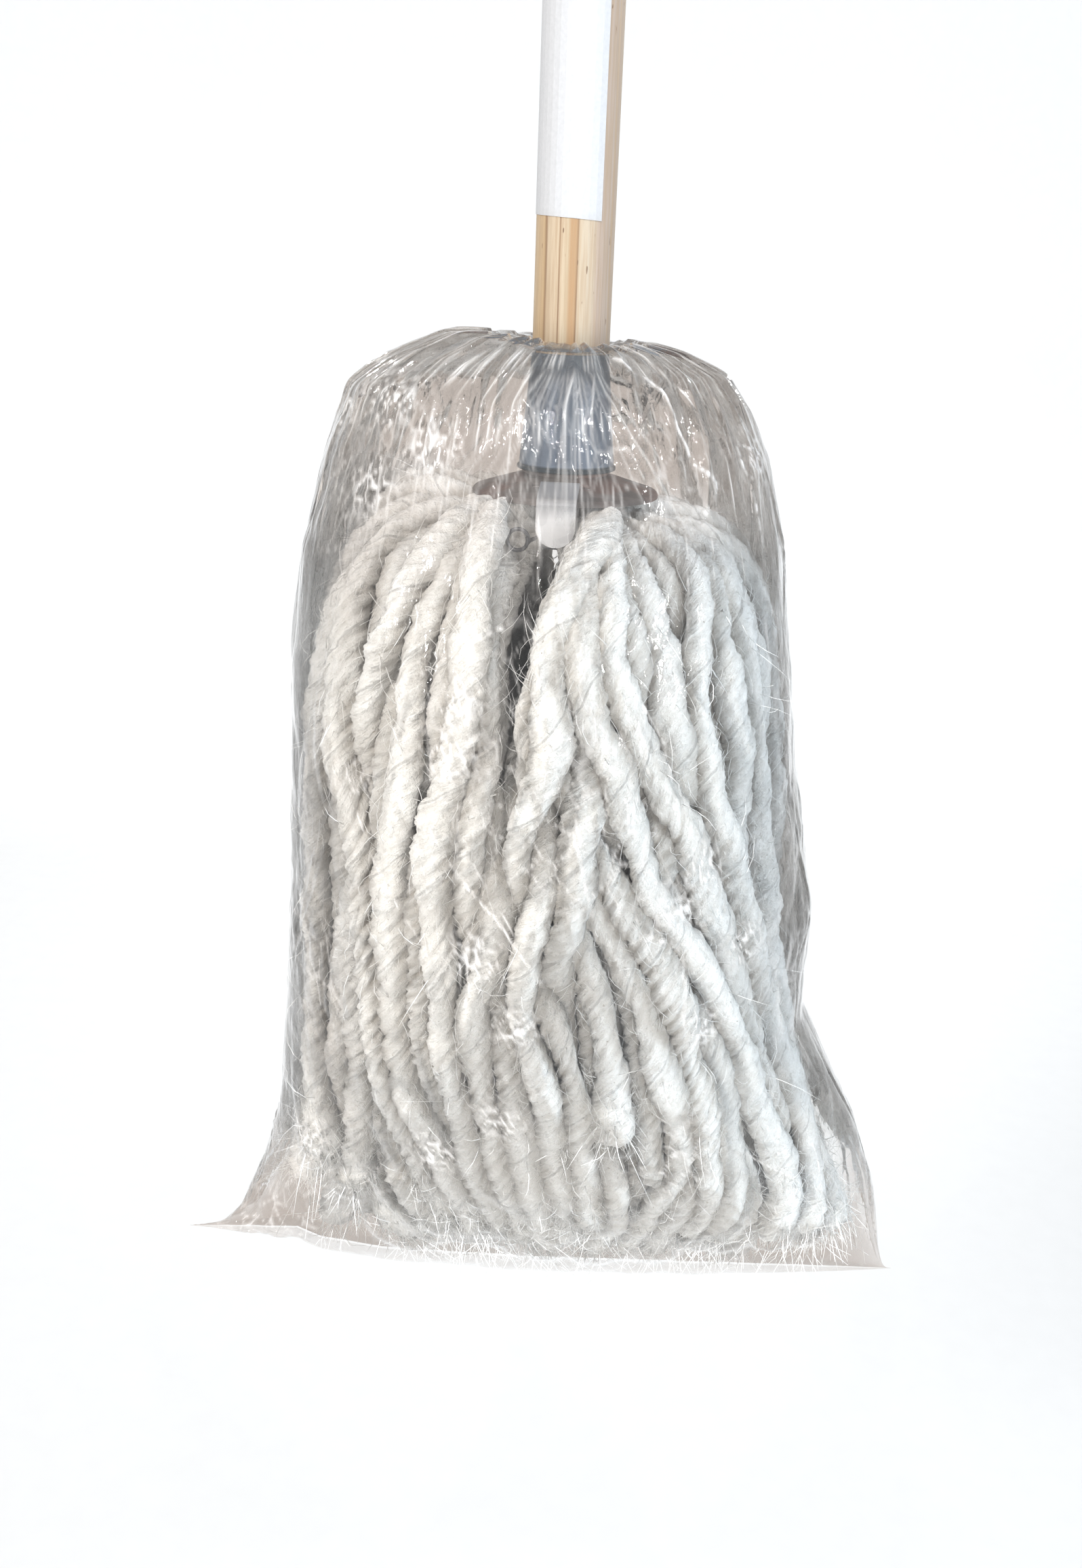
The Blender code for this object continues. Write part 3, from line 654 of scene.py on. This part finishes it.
def strand_mesh(route, rng, fine):
    """One soft twisted strand: its plies wind round it, it is narrow in the clamp and ends in a soft tuft."""
    spacing, around = (FINE_SPACING, 30) if fine else (0.0034, 16)
    length = by_length(route)[-1]
    rings = int(length / spacing)
    line = smooth_route(route, rings)
    _, normal, side = frames_along(line)
    run = np.linspace(0, length, rings)
    share = run / length
    radius = STRAND_DIAMETER / 2 * rng.uniform(0.94, 1.08)
    seed = rng.uniform(0, 100)
    slow = np.array([noise.noise((seed, r * 38, 0)) + 0.5 * noise.noise((seed, 4.4, r * 95)) for r in run])
    width = radius * (1 + 0.27 * slow) * np.interp(run, (0.0, 0.012, 0.040), (0.42, 0.6, 1.0))
    tuft = smoothstep((share - 0.90) / 0.07)
    width *= 1 + 0.24 * tuft
    end = np.clip((length - run) / (0.85 * radius), 0, 1)
    width *= np.sqrt(1 - (1 - end) ** 2) * 0.92 + 0.08
    twist_noise = np.cumsum(np.array([noise.noise((seed, 7.3, r * 22)) for r in run]) * 0.045)
    turn = 2 * math.pi * run / (PLY_PITCH * rng.uniform(0.9, 1.25)) + twist_noise + seed
    twisted = 0.5 + 0.5 * np.array([noise.noise((seed, 31.7, r * 14)) * 1.8 for r in run])
    depth = rng.uniform(0.15, 0.36) * np.clip(twisted, 0.05, 1) * (1 - 0.7 * tuft)
    depth = depth * np.interp(share, (0.0, 0.15, 0.4), (0.2, 0.4, 1.0))
    angle = 2 * math.pi * np.arange(around) / around
    lobe = np.abs(np.cos(angle * PLIES / 2)) ** 0.85
    deep = rng.uniform(0.35, 1.2, PLIES)[np.floor(angle * PLIES / (2 * math.pi)).astype(int) % PLIES]
    groove = np.tile((1 - lobe) * deep, (rings, 1))
    out = angle[None, :] + turn[:, None]
    squash = 1 + 0.13 * np.sin(2 * out + seed + 9 * share[:, None])
    reach = np.minimum(width[:, None] * (1 - depth[:, None] * groove) * squash, STRAND_MOST)
    points = (line[:, None, :] + (np.cos(out) * reach)[:, :, None] * normal[:, None, :]
              + (np.sin(out) * reach)[:, :, None] * side[:, None, :])
    flat = points.reshape(-1, 3)
    centre = np.repeat(line, around, axis=0)
    outward = flat - centre
    outward /= np.linalg.norm(outward, axis=1, keepdims=True) + 1e-9
    lumps = np.array([noise.noise(Vector(p) * 105) * 0.0014 + noise.noise(Vector(p) * 290) * 0.0010
                      for p in flat])
    if fine:
        lumps += np.array([noise.noise(Vector(p) * 560) * 0.0007 for p in flat])
    lumps *= np.repeat((1 + 0.8 * tuft) * np.minimum(end * 1.2 + 0.15, 1), around)
    room = STRAND_MOST + 0.0014 - np.linalg.norm(flat - centre, axis=1)
    flat = flat + outward * np.minimum(lumps, np.maximum(room, 0))[:, None]
    faces = ring_faces(rings, around)
    top, tip = len(flat), len(flat) + 1
    flat = np.vstack((flat, line[0], line[-1]))
    last = (rings - 1) * around
    for j in range(around):
        k = (j + 1) % around
        faces.append((top, k, j))
        faces.append((tip, last + j, last + k))
    # painted shade for the cotton, deepest in the ply grooves
    shade = np.concatenate(((groove * depth[:, None] / 0.2).ravel(), (0, 0)))
    place = np.stack((np.repeat(run, around) + seed, np.tile(angle, rings) * radius,
                      np.full(rings * around, seed)), axis=1)
    place = np.vstack((place, place[0], place[-1]))
    outward = (flat[:rings * around] - np.repeat(line, around, axis=0)).reshape(rings, around, 3)
    return {"points": flat, "faces": faces, "groove": shade, "place": place, "line": line, "width": width,
            "outward": outward / (np.linalg.norm(outward, axis=2, keepdims=True) + 1e-9)}


def add_contact_shade(parts, guides):
    """Stores painted shade for each vertex: how deep it lies between its own strand and the strands beside
    it, with an even share on the inner layers.
    """
    tree = kdtree.KDTree(sum(len(part["line"]) for part in parts))
    owners = np.repeat(np.arange(len(parts)), [len(part["line"]) for part in parts])
    for index, place in enumerate(np.vstack([part["line"] for part in parts])):
        tree.insert(place, index)
    tree.balance()
    for own, (part, guide) in enumerate(zip(parts, guides)):
        # inner layers start with painted shade all over
        shade = np.full(part["outward"].shape[:2], 0.30 * guide["layer"])
        for i, place in enumerate(part["line"]):
            for other, index, distance in tree.find_range(place, CONTACT_REACH):
                if owners[index] == own or distance < 1e-6:
                    continue
                towards = (np.array(other) - place) / distance
                near = min(max((CONTACT_REACH - distance) / 0.0045, 0.0), 1.0)
                facing = np.clip((part["outward"][i] @ towards - 0.15) / 0.6, 0, 1)
                shade[i] = np.maximum(shade[i], near * facing)
        part["buried"] = np.concatenate((shade.ravel(), (0, 0)))


def joined(parts):
    """Several strand meshes as one."""
    points, faces, offset = [], [], 0
    for part in parts:
        points.append(part["points"])
        faces += moved_faces(part["faces"], offset)
        offset += len(part["points"])
    return (np.vstack(points), faces, np.concatenate([p["groove"] for p in parts]),
            np.concatenate([p["buried"] for p in parts]), np.vstack([p["place"] for p in parts]))


def add_yarn(name, parts, material, bundle):
    points, faces, groove, buried, place = joined(parts)
    points = points + (0, 0, JUNCTION)
    obj = add_mesh(name, points, faces, material)
    # groove and buried hold the painted shade for the cotton
    set_values(obj, "groove", groove)
    set_values(obj, "buried", buried)
    set_values(obj, "strand_place", place)
    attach(obj, "head")
    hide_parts(f"yarn_bundle_{bundle + 1:02d}")
    return obj


def build_yarn(cotton):
    """Every strand: 40 of the outer ones as pieces of their own, the rest grouped by their bundle."""
    rng = np.random.default_rng(SEED + 1)
    guides = strand_guides()
    routes = settle(guides)
    parts = [strand_mesh(route, rng, guide["layer"] == 0) for route, guide in zip(routes, guides)]
    add_contact_shade(parts, guides)
    outer = [i for i, g in enumerate(guides) if g["layer"] == 0]
    outer.sort(key=lambda i: routes[i][:, 1].mean())
    cords = sorted(outer[:MOST_CORDS])
    for number, i in enumerate(cords, start=1):
        part = parts[i]
        obj = add_yarn(f"strand_{number:02d}", [part], cotton, guides[i]["bundle"])
        path = part["line"][::3] + (0, 0, JUNCTION)
        path = np.vstack((path, part["line"][-1] + (0, 0, JUNCTION)))
    for bundle in range(BUNDLES):
        rest = [parts[i] for i, g in enumerate(guides) if g["bundle"] == bundle and i not in cords]
        add_yarn(f"inner_strands_{bundle + 1:02d}", rest, cotton, bundle)
    return parts, guides


# ---------------------------------------------------------------- stray fibres

def fibre_faces(route, thickness):
    """A three-sided thread along a route, pointed at its far end."""
    _, normal, side = frames_along(route)
    count = len(route)
    points = []
    for i in range(count):
        size = thickness * (1 - 0.75 * i / (count - 1))
        for turn in (0, 2.094, 4.189):
            points.append(route[i] + size * (math.cos(turn) * normal[i] + math.sin(turn) * side[i]))
    caps = [(2, 1, 0), (3 * count - 3, 3 * count - 2, 3 * count - 1)]
    return points, ring_faces(count, 3) + caps


def add_fibres(name, threads, material):
    """One piece of many threads, each a route and a thickness."""
    points, faces = [], []
    for route, thickness in threads:
        new_points, new_faces = fibre_faces(route, thickness)
        faces += moved_faces(new_faces, len(points))
        points += new_points
    fibres = add_mesh(name, np.array(points) + (0, 0, JUNCTION), faces, material)
    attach(fibres, "head")


def build_fuzz(name, parts, material, seed):
    """Short fibres that stand off the given strands, more of them at the tufts."""
    rng = np.random.default_rng(SEED + seed)
    threads = []
    for part in parts:
        line = part["line"]
        tangents, normal, side = frames_along(line)
        for _ in range(FIBRES_EACH):
            share = rng.uniform(0.12, 1.0) if rng.uniform() < 0.6 else rng.uniform(0.90, 1.0)
            i = min(int(share * len(line)), len(line) - 3)
            turn = rng.uniform(0, 2 * math.pi)
            out = math.cos(turn) * normal[i] + math.sin(turn) * side[i]
            along = tangents[i] * rng.choice((-1, 1)) + rng.normal(0, 0.35, 3)
            reach = rng.uniform(0.004, 0.012)
            root = line[i] + out * part["width"][i] * 0.93
            curl = rng.normal(0, 0.25, 3)
            route = [root + (along * t + out * 0.34 * math.sin(2.4 * t) + curl * t * t) * reach
                     for t in np.linspace(0, 1, 4)]
            threads.append((np.array(route), rng.uniform(0.00007, 0.00016)))
    add_fibres(name, threads, material)


def build_ends(parts, material):
    """Frayed cotton at the cut end of every strand."""
    rng = np.random.default_rng(SEED + 6)
    threads = []
    for part in parts:
        line = part["line"]
        tangents, normal, side = frames_along(line)
        for _ in range(END_FIBRES):
            i = len(line) - 1 - int(rng.uniform(2, 9) * FINE_SPACING / np.linalg.norm(line[1] - line[0]))
            turn = rng.uniform(0, 2 * math.pi)
            out = math.cos(turn) * normal[i] + math.sin(turn) * side[i]
            root = line[i] + out * part["width"][i] * rng.uniform(0.3, 0.95)
            along = tangents[i] + out * rng.uniform(0.0, 0.9) + rng.normal(0, 0.3, 3)
            reach = rng.uniform(0.006, 0.014)
            curl = rng.normal(0, 0.45, 3)
            route = np.array([root + (along * t + curl * t * t) * reach for t in np.linspace(0, 1, 4)])
            route[:, 2] = np.maximum(route[:, 2], LOWEST_FIBRE)
            threads.append((route + rng.normal(0, 1e-5, route.shape), rng.uniform(0.00014, 0.0003)))
    add_fibres("yarn_ends", threads, material)


# ---------------------------------------------------------------- bag

def bag_point_grid():
    """The bag without its folds: rings between its left and right edges, from the neck to the seal."""
    levels = np.array(BAG_LEVELS)
    edge = by_length(levels[:, :2])
    down = np.linspace(0, edge[-1], BAG_DOWN + 1)
    rows = np.stack([np.interp(down, edge, levels[:, k]) for k in range(6)], axis=1)
    soft = rows.copy()
    for _ in range(3):
        soft[1:-1] = 0.25 * soft[:-2] + 0.5 * soft[1:-1] + 0.25 * soft[2:]
    angle = 2 * math.pi * np.arange(BAG_AROUND) / BAG_AROUND
    cos, sin = np.cos(angle), np.sin(angle)
    left_x, left_z, right_x, right_z, front, back = (soft[:, k, None] for k in range(6))
    x = (left_x + right_x) / 2 + (right_x - left_x) / 2 * cos
    z = (left_z + right_z) / 2 + (right_z - left_z) / 2 * cos
    y = np.where(sin < 0, front, back) * sin
    low = smoothstep((down[:, None] / edge[-1] - 0.90) / 0.10)
    seal = np.interp(x, [p[0] for p in SEAL_LINE], [p[1] for p in SEAL_LINE])
    z = z * (1 - low) + seal * low
    return np.stack((x, y, z), axis=2), down / edge[-1], angle


def outward_of(grid):
    """Unit vectors out of the bag at every grid point."""
    around = np.roll(grid, -1, axis=1) - np.roll(grid, 1, axis=1)
    down = np.gradient(grid, axis=0)
    out = np.cross(down, around)
    out /= np.linalg.norm(out, axis=2, keepdims=True) + 1e-12
    middle = grid.mean(axis=1, keepdims=True)
    flip = np.sign(((grid - middle) * out).sum(axis=2, keepdims=True))
    return out * np.where(flip == 0, 1, flip)


def in_stretches(down, seed, pitch):
    """Painted highlight along a line, bright in some stretches only."""
    return np.clip(0.45 + 1.8 * np.array([noise.noise((seed, d * pitch, 0)) for d in down]), 0, 1)


def turn_gap(angle, middle):
    """How far each column lies from a line's middle, row by row, in radians."""
    return np.abs((angle[None, :] - middle[:, None] + math.pi) % (2 * math.pi) - math.pi)


def fold_heights(down, angle, radius):
    """How far the film stands off its plain shape, and the painted highlight on its creases, row by column.
    """
    rng = np.random.default_rng(SEED + 3)
    heights = np.zeros((len(down), len(angle)))
    bright = np.zeros_like(heights)
    for k in range(PLEATS):
        centre = (k + rng.uniform(-0.38, 0.38)) * 2 * math.pi / PLEATS
        reach = rng.uniform(0.15, 0.36)
        gap = turn_gap(angle, centre + rng.uniform(-0.10, 0.10) * down / 0.4)
        rise = smoothstep(down / 0.05) * (1 - smoothstep((down - reach * 0.5) / (reach * 0.6)))
        size = rng.uniform(0.0006, 0.0020)
        heights += size * rise[:, None] * np.clip(1 - gap / rng.uniform(0.04, 0.09), 0, 1)
        line = np.exp(-(gap * radius[:, None] / rng.uniform(0.00022, 0.00042)) ** 2)
        lit = rise * in_stretches(down, centre, 16) * rng.uniform(0.3, 1)
        bright = np.maximum(bright, line * lit[:, None])
    for k in range(FINE_PLEATS):
        centre = rng.normal(-math.pi / 2, 1.0) if k % 3 else rng.uniform(0, 2 * math.pi)
        reach = rng.uniform(0.10, 0.40)
        gap = turn_gap(angle, centre + rng.uniform(-0.16, 0.16) * down / 0.4)
        fade = (1 - smoothstep((down - reach * 0.6) / (reach * 0.4))) * in_stretches(down, 40 + centre, 24)
        line = np.exp(-(gap * radius[:, None] / rng.uniform(0.0002, 0.00034)) ** 2)
        heights += 0.0003 * line * fade[:, None]
        bright = np.maximum(bright, line * fade[:, None] * rng.uniform(0.25, 0.8))
    for k in range(LONG_CREASES):
        place, turn = rng.uniform(0.12, 0.97), rng.uniform(0, 2 * math.pi)
        slope = rng.uniform(-1.0, 1.0)
        length = rng.uniform(0.02, 0.10)
        width = rng.uniform(0.012, 0.035)
        offset = down - place
        gap = turn_gap(angle, turn + slope * offset * 4)
        fade = np.clip(1 - (offset / length) ** 2, 0, 1)[:, None]
        heights += rng.uniform(0.0003, 0.0010) * rng.choice((-1, 1)) * fade * np.clip(1 - gap / width, 0, 1)
        if k % 2:
            line = np.exp(-(gap * radius[:, None] / 0.0004) ** 2)
            lit = line * fade * in_stretches(down, turn, 45)[:, None]
            bright = np.maximum(bright, lit * rng.uniform(0.2, 0.8))
    return heights, bright


def accent_creases(grid):
    """Painted highlight on the creases in front: the listed ones, and the fan of fine lines from the neck."""
    x, z = grid[:, :, 0], grid[:, :, 2]
    bright = np.zeros_like(x)
    for number, (strength, broken, points) in enumerate(CREASES):
        smooth = smooth_route(np.array([(p[0], 0.0, p[1]) for p in points]), 30)
        smooth[1:-1, 0] += [0.0009 * noise.noise((number, k * 0.35, 0)) for k in range(len(smooth) - 2)]
        for k in range(len(smooth) - 1):
            (ax, _, az), (bx, _, bz) = smooth[k], smooth[k + 1]
            run_x, run_z = bx - ax, bz - az
            along = np.clip(((x - ax) * run_x + (z - az) * run_z) / (run_x ** 2 + run_z ** 2), 0, 1)
            gap = np.hypot(x - ax - along * run_x, z - az - along * run_z)
            wave = noise.noise((number * 3.1, k * (0.9 if broken else 0.4), 7))
            lit = strength * min(max((0.2 if broken else 0.6) + 1.5 * wave, 0), 1)
            bright = np.maximum(bright, lit * np.exp(-(gap / 0.00042) ** 2))
    rng = np.random.default_rng(SEED + 8)
    for k in range(FAN_LINES):
        turn = -0.72 + 1.44 * (k + rng.uniform(0.0, 1.0)) / FAN_LINES
        run_x, run_z = math.sin(turn), -0.85 * math.cos(turn) - 0.12
        along = (x - 0.011 * math.sin(turn)) * run_x + (z + 0.003) * run_z
        off = np.abs((x - 0.011 * math.sin(turn)) * run_z - (z + 0.003) * run_x) / math.hypot(run_x, run_z)
        length = rng.uniform(0.035, 0.085)
        fade = smoothstep(along / 0.004) * (1 - smoothstep((along - 0.6 * length) / (0.4 * length)))
        bright = np.maximum(bright, rng.uniform(0.08, 0.42) * fade * np.exp(-(off / 0.00036) ** 2))
    return np.where(grid[:, :, 1] < 0, bright, 0)


def crushed_weight(grid):
    """How crushed the film is: listed patches in front, seeded ones at the sides and behind."""
    rng = np.random.default_rng(SEED + 5)
    front = np.where(grid[:, :, 1:2] < 0, grid, 9.0)
    centres = []
    for x, z, radius in GLINTS:
        gap = (front[:, :, 0] - x) ** 2 + (front[:, :, 2] - z) ** 2
        centres.append((grid.reshape(-1, 3)[gap.argmin()], radius))
    columns = grid.shape[1]
    for _ in range(CRUSHED_PATCHES):
        row = int(rng.uniform(0.12, 0.95) * (grid.shape[0] - 1))
        column = int(rng.uniform(-0.06, 0.56) * columns) % columns
        centres.append((grid[row, column], rng.uniform(0.006, 0.010)))
    weight = np.zeros(grid.shape[:2])
    for centre, radius in centres:
        weight = np.maximum(weight, np.exp(-((grid - centre) ** 2).sum(axis=2) / radius ** 2))
    return weight


def crumple(grid):
    """Facets of crushed film from cells of three sizes, and the painted glint on their edges."""
    crushed = crushed_weight(grid).ravel()
    flat = grid.reshape(-1, 3)
    height = np.empty(len(flat))
    bright = np.zeros(len(flat))
    for i, (x, y, z) in enumerate(flat):
        large = noise.voronoi((x * 46, y * 46, z * 30))[0]
        height[i] = 0.0014 * (large[1] - large[0])
        patch = noise.noise((x * 22, y * 22, z * 17)) + 0.05
        if patch > 0:
            small = noise.voronoi((x * 120, y * 120, z * 85))[0]
            height[i] += 0.0022 * patch * (small[1] - small[0])
            bright[i] = 0.9 * patch * max(0.0, 1 - (small[1] - small[0]) / 0.07)
        if crushed[i] > 0.04:
            tiny = noise.voronoi((x * 260, y * 260, z * 190))[0]
            height[i] += 0.0012 * crushed[i] * (tiny[1] - tiny[0])
            bright[i] = max(bright[i], crushed[i] * max(0.0, 1 - (tiny[1] - tiny[0]) / 0.17))
    return height.reshape(grid.shape[:2]), bright.reshape(grid.shape[:2])


def build_bag(film, parts):
    """The clear sleeve: gathered at the neck, hugging the yarn, and flat at its seal."""
    grid, down, angle = bag_point_grid()
    out = outward_of(grid)
    radius = np.linalg.norm(grid - grid.mean(axis=1, keepdims=True), axis=2).mean(axis=1)
    calm = smoothstep(down / 0.05) * (1 - 0.6 * smoothstep((down - 0.95) / 0.05))
    heights, lines = fold_heights(down, angle, radius)
    facets, edges = crumple(grid)
    accents = accent_creases(grid)
    spread = smoothstep((down - 0.05) / 0.12)[:, None]
    # painted highlight: crease lines and facet edges, stored as the film's crease attribute
    bright = np.maximum(np.maximum(lines, edges * spread), accents)
    heights += (facets - 0.0004) * spread + 0.0006 * accents
    grid = grid + out * (heights * calm[:, None])[:, :, None]
    tree = kdtree.KDTree(sum(len(p["line"]) for p in parts))
    widths, index = [], 0
    for part in parts:
        for place, width in zip(part["line"], part["width"]):
            tree.insert(place, index)
            widths.append(width)
            index += 1
    tree.balance()
    flat = grid.reshape(-1, 3)
    gaps = np.empty(len(flat))
    for i, point in enumerate(flat):
        _, nearest, distance = tree.find(point)
        gaps[i] = distance - widths[nearest]
    lift = np.clip(FILM_CLEARANCE - gaps, 0, 0.009).reshape(grid.shape[:2])
    for shift in (1, 2):
        lift = np.maximum.reduce((lift, np.roll(lift, shift, 1), np.roll(lift, -shift, 1)))
        lift[1:-1] = np.maximum.reduce((lift[:-2], lift[1:-1], lift[2:]))
    for _ in range(3):
        lift = 0.25 * (np.roll(lift, 1, 1) + np.roll(lift, -1, 1)) + 0.5 * lift
    grid = grid + out * lift[:, :, None]
    # slack sets the film's haze and its painted shade: the taupe tint where it stands off the yarn and along
    # the strip above the seal
    slack = smoothstep((gaps.reshape(grid.shape[:2]) - 0.004) / 0.014)
    slack = np.maximum(slack, 0.85 * smoothstep((down - 0.90) / 0.05)[:, None])
    rows, columns = grid.shape[:2]
    faces = [(a, d, c, b) for a, b, c, d in ring_faces(rows, columns)]
    points = grid.reshape(-1, 3) + (0, 0, JUNCTION)
    bag = add_mesh("bag_sleeve", points, faces, film)
    set_values(bag, "slack", slack.ravel())
    set_values(bag, "crease", bright.ravel())
    set_values(bag, "seal", np.repeat(smoothstep((down - 0.955) / 0.02), columns))
    # behind darkens that painted taupe tint on the back half
    set_values(bag, "behind", np.tile(smoothstep(0.2 + 1.2 * np.sin(angle)), rows))
    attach(bag, "bag")
    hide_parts("bag_film")
    return bag


# ---------------------------------------------------------------- stage

def set_camera():
    data = bpy.data.cameras.new("camera")
    data.sensor_fit = "VERTICAL"
    data.sensor_height = 24
    data.lens = 24 * FOCAL_PIXELS / FRAME_HEIGHT
    data.clip_start = 0.01
    camera = bpy.data.objects.new("camera", data)
    bpy.context.scene.collection.objects.link(camera)
    forward = Vector((0, math.cos(CAMERA_PITCH), -math.sin(CAMERA_PITCH)))
    level_up = Vector((0, math.sin(CAMERA_PITCH), math.cos(CAMERA_PITCH)))
    level_right = Vector((1, 0, 0))
    up = level_up * math.cos(CAMERA_ROLL) - level_right * math.sin(CAMERA_ROLL)
    right = level_right * math.cos(CAMERA_ROLL) + level_up * math.sin(CAMERA_ROLL)
    turn = Matrix((right, up, -forward)).transposed().to_4x4()
    camera.matrix_world = Matrix.Translation(Vector(CAMERA_PLACE) + Vector((0, 0, JUNCTION))) @ turn
    bpy.context.scene.camera = camera


def aim_light(name, place, target, size, power, colour, size_y=None, mirrored=True):
    data = bpy.data.lights.new(name, "AREA")
    data.energy = power
    data.color = colour
    data.size = size
    if size_y:
        data.shape = "RECTANGLE"
        data.size_y = size_y
    lamp = bpy.data.objects.new(name, data)
    lamp.location = place
    lamp.visible_glossy = mirrored
    lamp.rotation_euler = (Vector(target) - Vector(place)).to_track_quat("-Z", "Y").to_euler()
    bpy.context.scene.collection.objects.link(lamp)


def set_lights():
    """Soft light from all round, and small bright lamps that glint in the film's creases."""
    middle = (0, 0, 0.2)
    aim_light("key_soft", (-1.5, -1.9, 1.5), middle, 0.8, 54, (1.0, 0.955, 0.90), mirrored=False)
    aim_light("fill_soft", (1.7, -1.6, 0.7), middle, 0.9, 36, (0.72, 0.87, 1.0), mirrored=False)
    aim_light("low_soft", (0.1, -2.1, -0.2), (0, 0, 0.1), 1.0, 27, (1.0, 0.985, 0.96), mirrored=False)
    aim_light("back_soft", (0.2, 1.9, 1.4), middle, 0.9, 17, (1.0, 1.0, 1.0), mirrored=False)
    for i, x in enumerate((-0.55, -0.2, 0.2, 0.6)):
        aim_light(f"glint_{i}", (x, -0.75 + 0.1 * abs(x), 1.05), middle, 0.02, 0.8, (1, 1, 1), 0.10)
    for i, (x, y, z) in enumerate(((-0.8, -0.8, 0.5), (0.8, -0.8, 0.45), (-0.5, 0.9, 0.8), (0.6, 0.8, 0.7))):
        aim_light(f"glint_side_{i}", (x, y, z), middle, 0.02, 0.6, (1, 1, 1), 0.08)
    world = bpy.data.worlds.new("world")
    world.use_nodes = True
    background = world.node_tree.nodes["Background"]
    background.inputs["Color"].default_value = (0.97, 0.985, 1.0, 1)
    background.inputs["Strength"].default_value = 0.67
    bpy.context.scene.world = world
    bpy.context.scene.view_settings.view_transform = "Standard"


def build_stage():
    """A pale floor well below the hanging mop that sweeps up behind it."""
    n = Nodes("stage_paper")
    grain = n.ramp(n.noise(n.place(), 40, 2.0), (0.3, 0.885), (0.7, 0.90))
    # painted shade: the floor is darker towards the front, where the lamps light it most
    near = n.ramp(n.math("MULTIPLY", n.math("ADD", n.axis(1), 1.5), 0.25), (0.1, 0.55), (0.9, 1.0))
    shader = n.principled(Base_Color=n.mix(1.0, grain, near, "MULTIPLY"), Roughness=0.9)
    paper = n.finish(shader)
    floor_z, wall_y, bend = -0.55, 2.6, 0.9
    profile = [(-4.0, floor_z)]
    for i in range(13):
        turn = math.radians(7.5 * i)
        profile.append((wall_y - bend + bend * math.sin(turn), floor_z + bend * (1 - math.cos(turn))))
    profile.append((wall_y, 4.0))
    half = 4.0
    points = [(x, y, z) for y, z in profile for x in (-half, half)]
    faces = [(2 * i, 2 * i + 1, 2 * i + 3, 2 * i + 2) for i in range(len(profile) - 1)]
    add_mesh("backdrop", points, faces, paper)


def dress_frame():
    """Materials for the CAD nodes that stay."""
    strap = steel_material("strap_steel", (0.58, 0.58, 0.59), (0.80, 0.80, 0.81), 0.45, 0.30, 260.0)
    plate = steel_material("plate_steel", (0.085, 0.076, 0.074), (0.24, 0.215, 0.205), 0.55, 0.48, 120.0,
                           (0.17, 0.09, 0.07))
    # the strap and its rivets get painted shade above the hanging tongue
    strap_steel = shaded_above(*strap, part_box("clamp_strap")[0][2] + TONGUE_BRIGHT)
    wire = steel_material("wire_steel", (0.07, 0.07, 0.075), (0.22, 0.22, 0.23), 0.7, 0.40, 300.0)
    looks = {"handle": wood_material(), "handle_label": paper_material(),
             "socket_ferrule": socket_material(), "top_plate": plate[0].finish(plate[1]),
             "clamp_strap": strap_steel, "socket_rivet_left": strap_steel,
             "socket_rivet_right": strap_steel, "yarn_tie_wire": wire[0].finish(wire[1])}
    for name, material in looks.items():
        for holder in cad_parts[name].material_slots:
            holder.material = material


set_camera()
strands, strand_guide_list = build_yarn(cotton_material())
loose_fibre = fibre_material()
outer_strands = [part for part, guide in zip(strands, strand_guide_list) if guide["layer"] == 0]
front_count = len(FRONT_STRANDS)
left_count = sum(row[0] for row in FRONT_STRANDS)
build_fuzz("fuzz_front_left", outer_strands[:left_count], loose_fibre, 2)
build_fuzz("fuzz_front_right", outer_strands[left_count:front_count], loose_fibre, 3)
build_fuzz("fuzz_back", outer_strands[front_count:], loose_fibre, 4)
build_ends(strands, loose_fibre)
build_bag(film_material(), strands)
dress_frame()
set_lights()
build_stage()
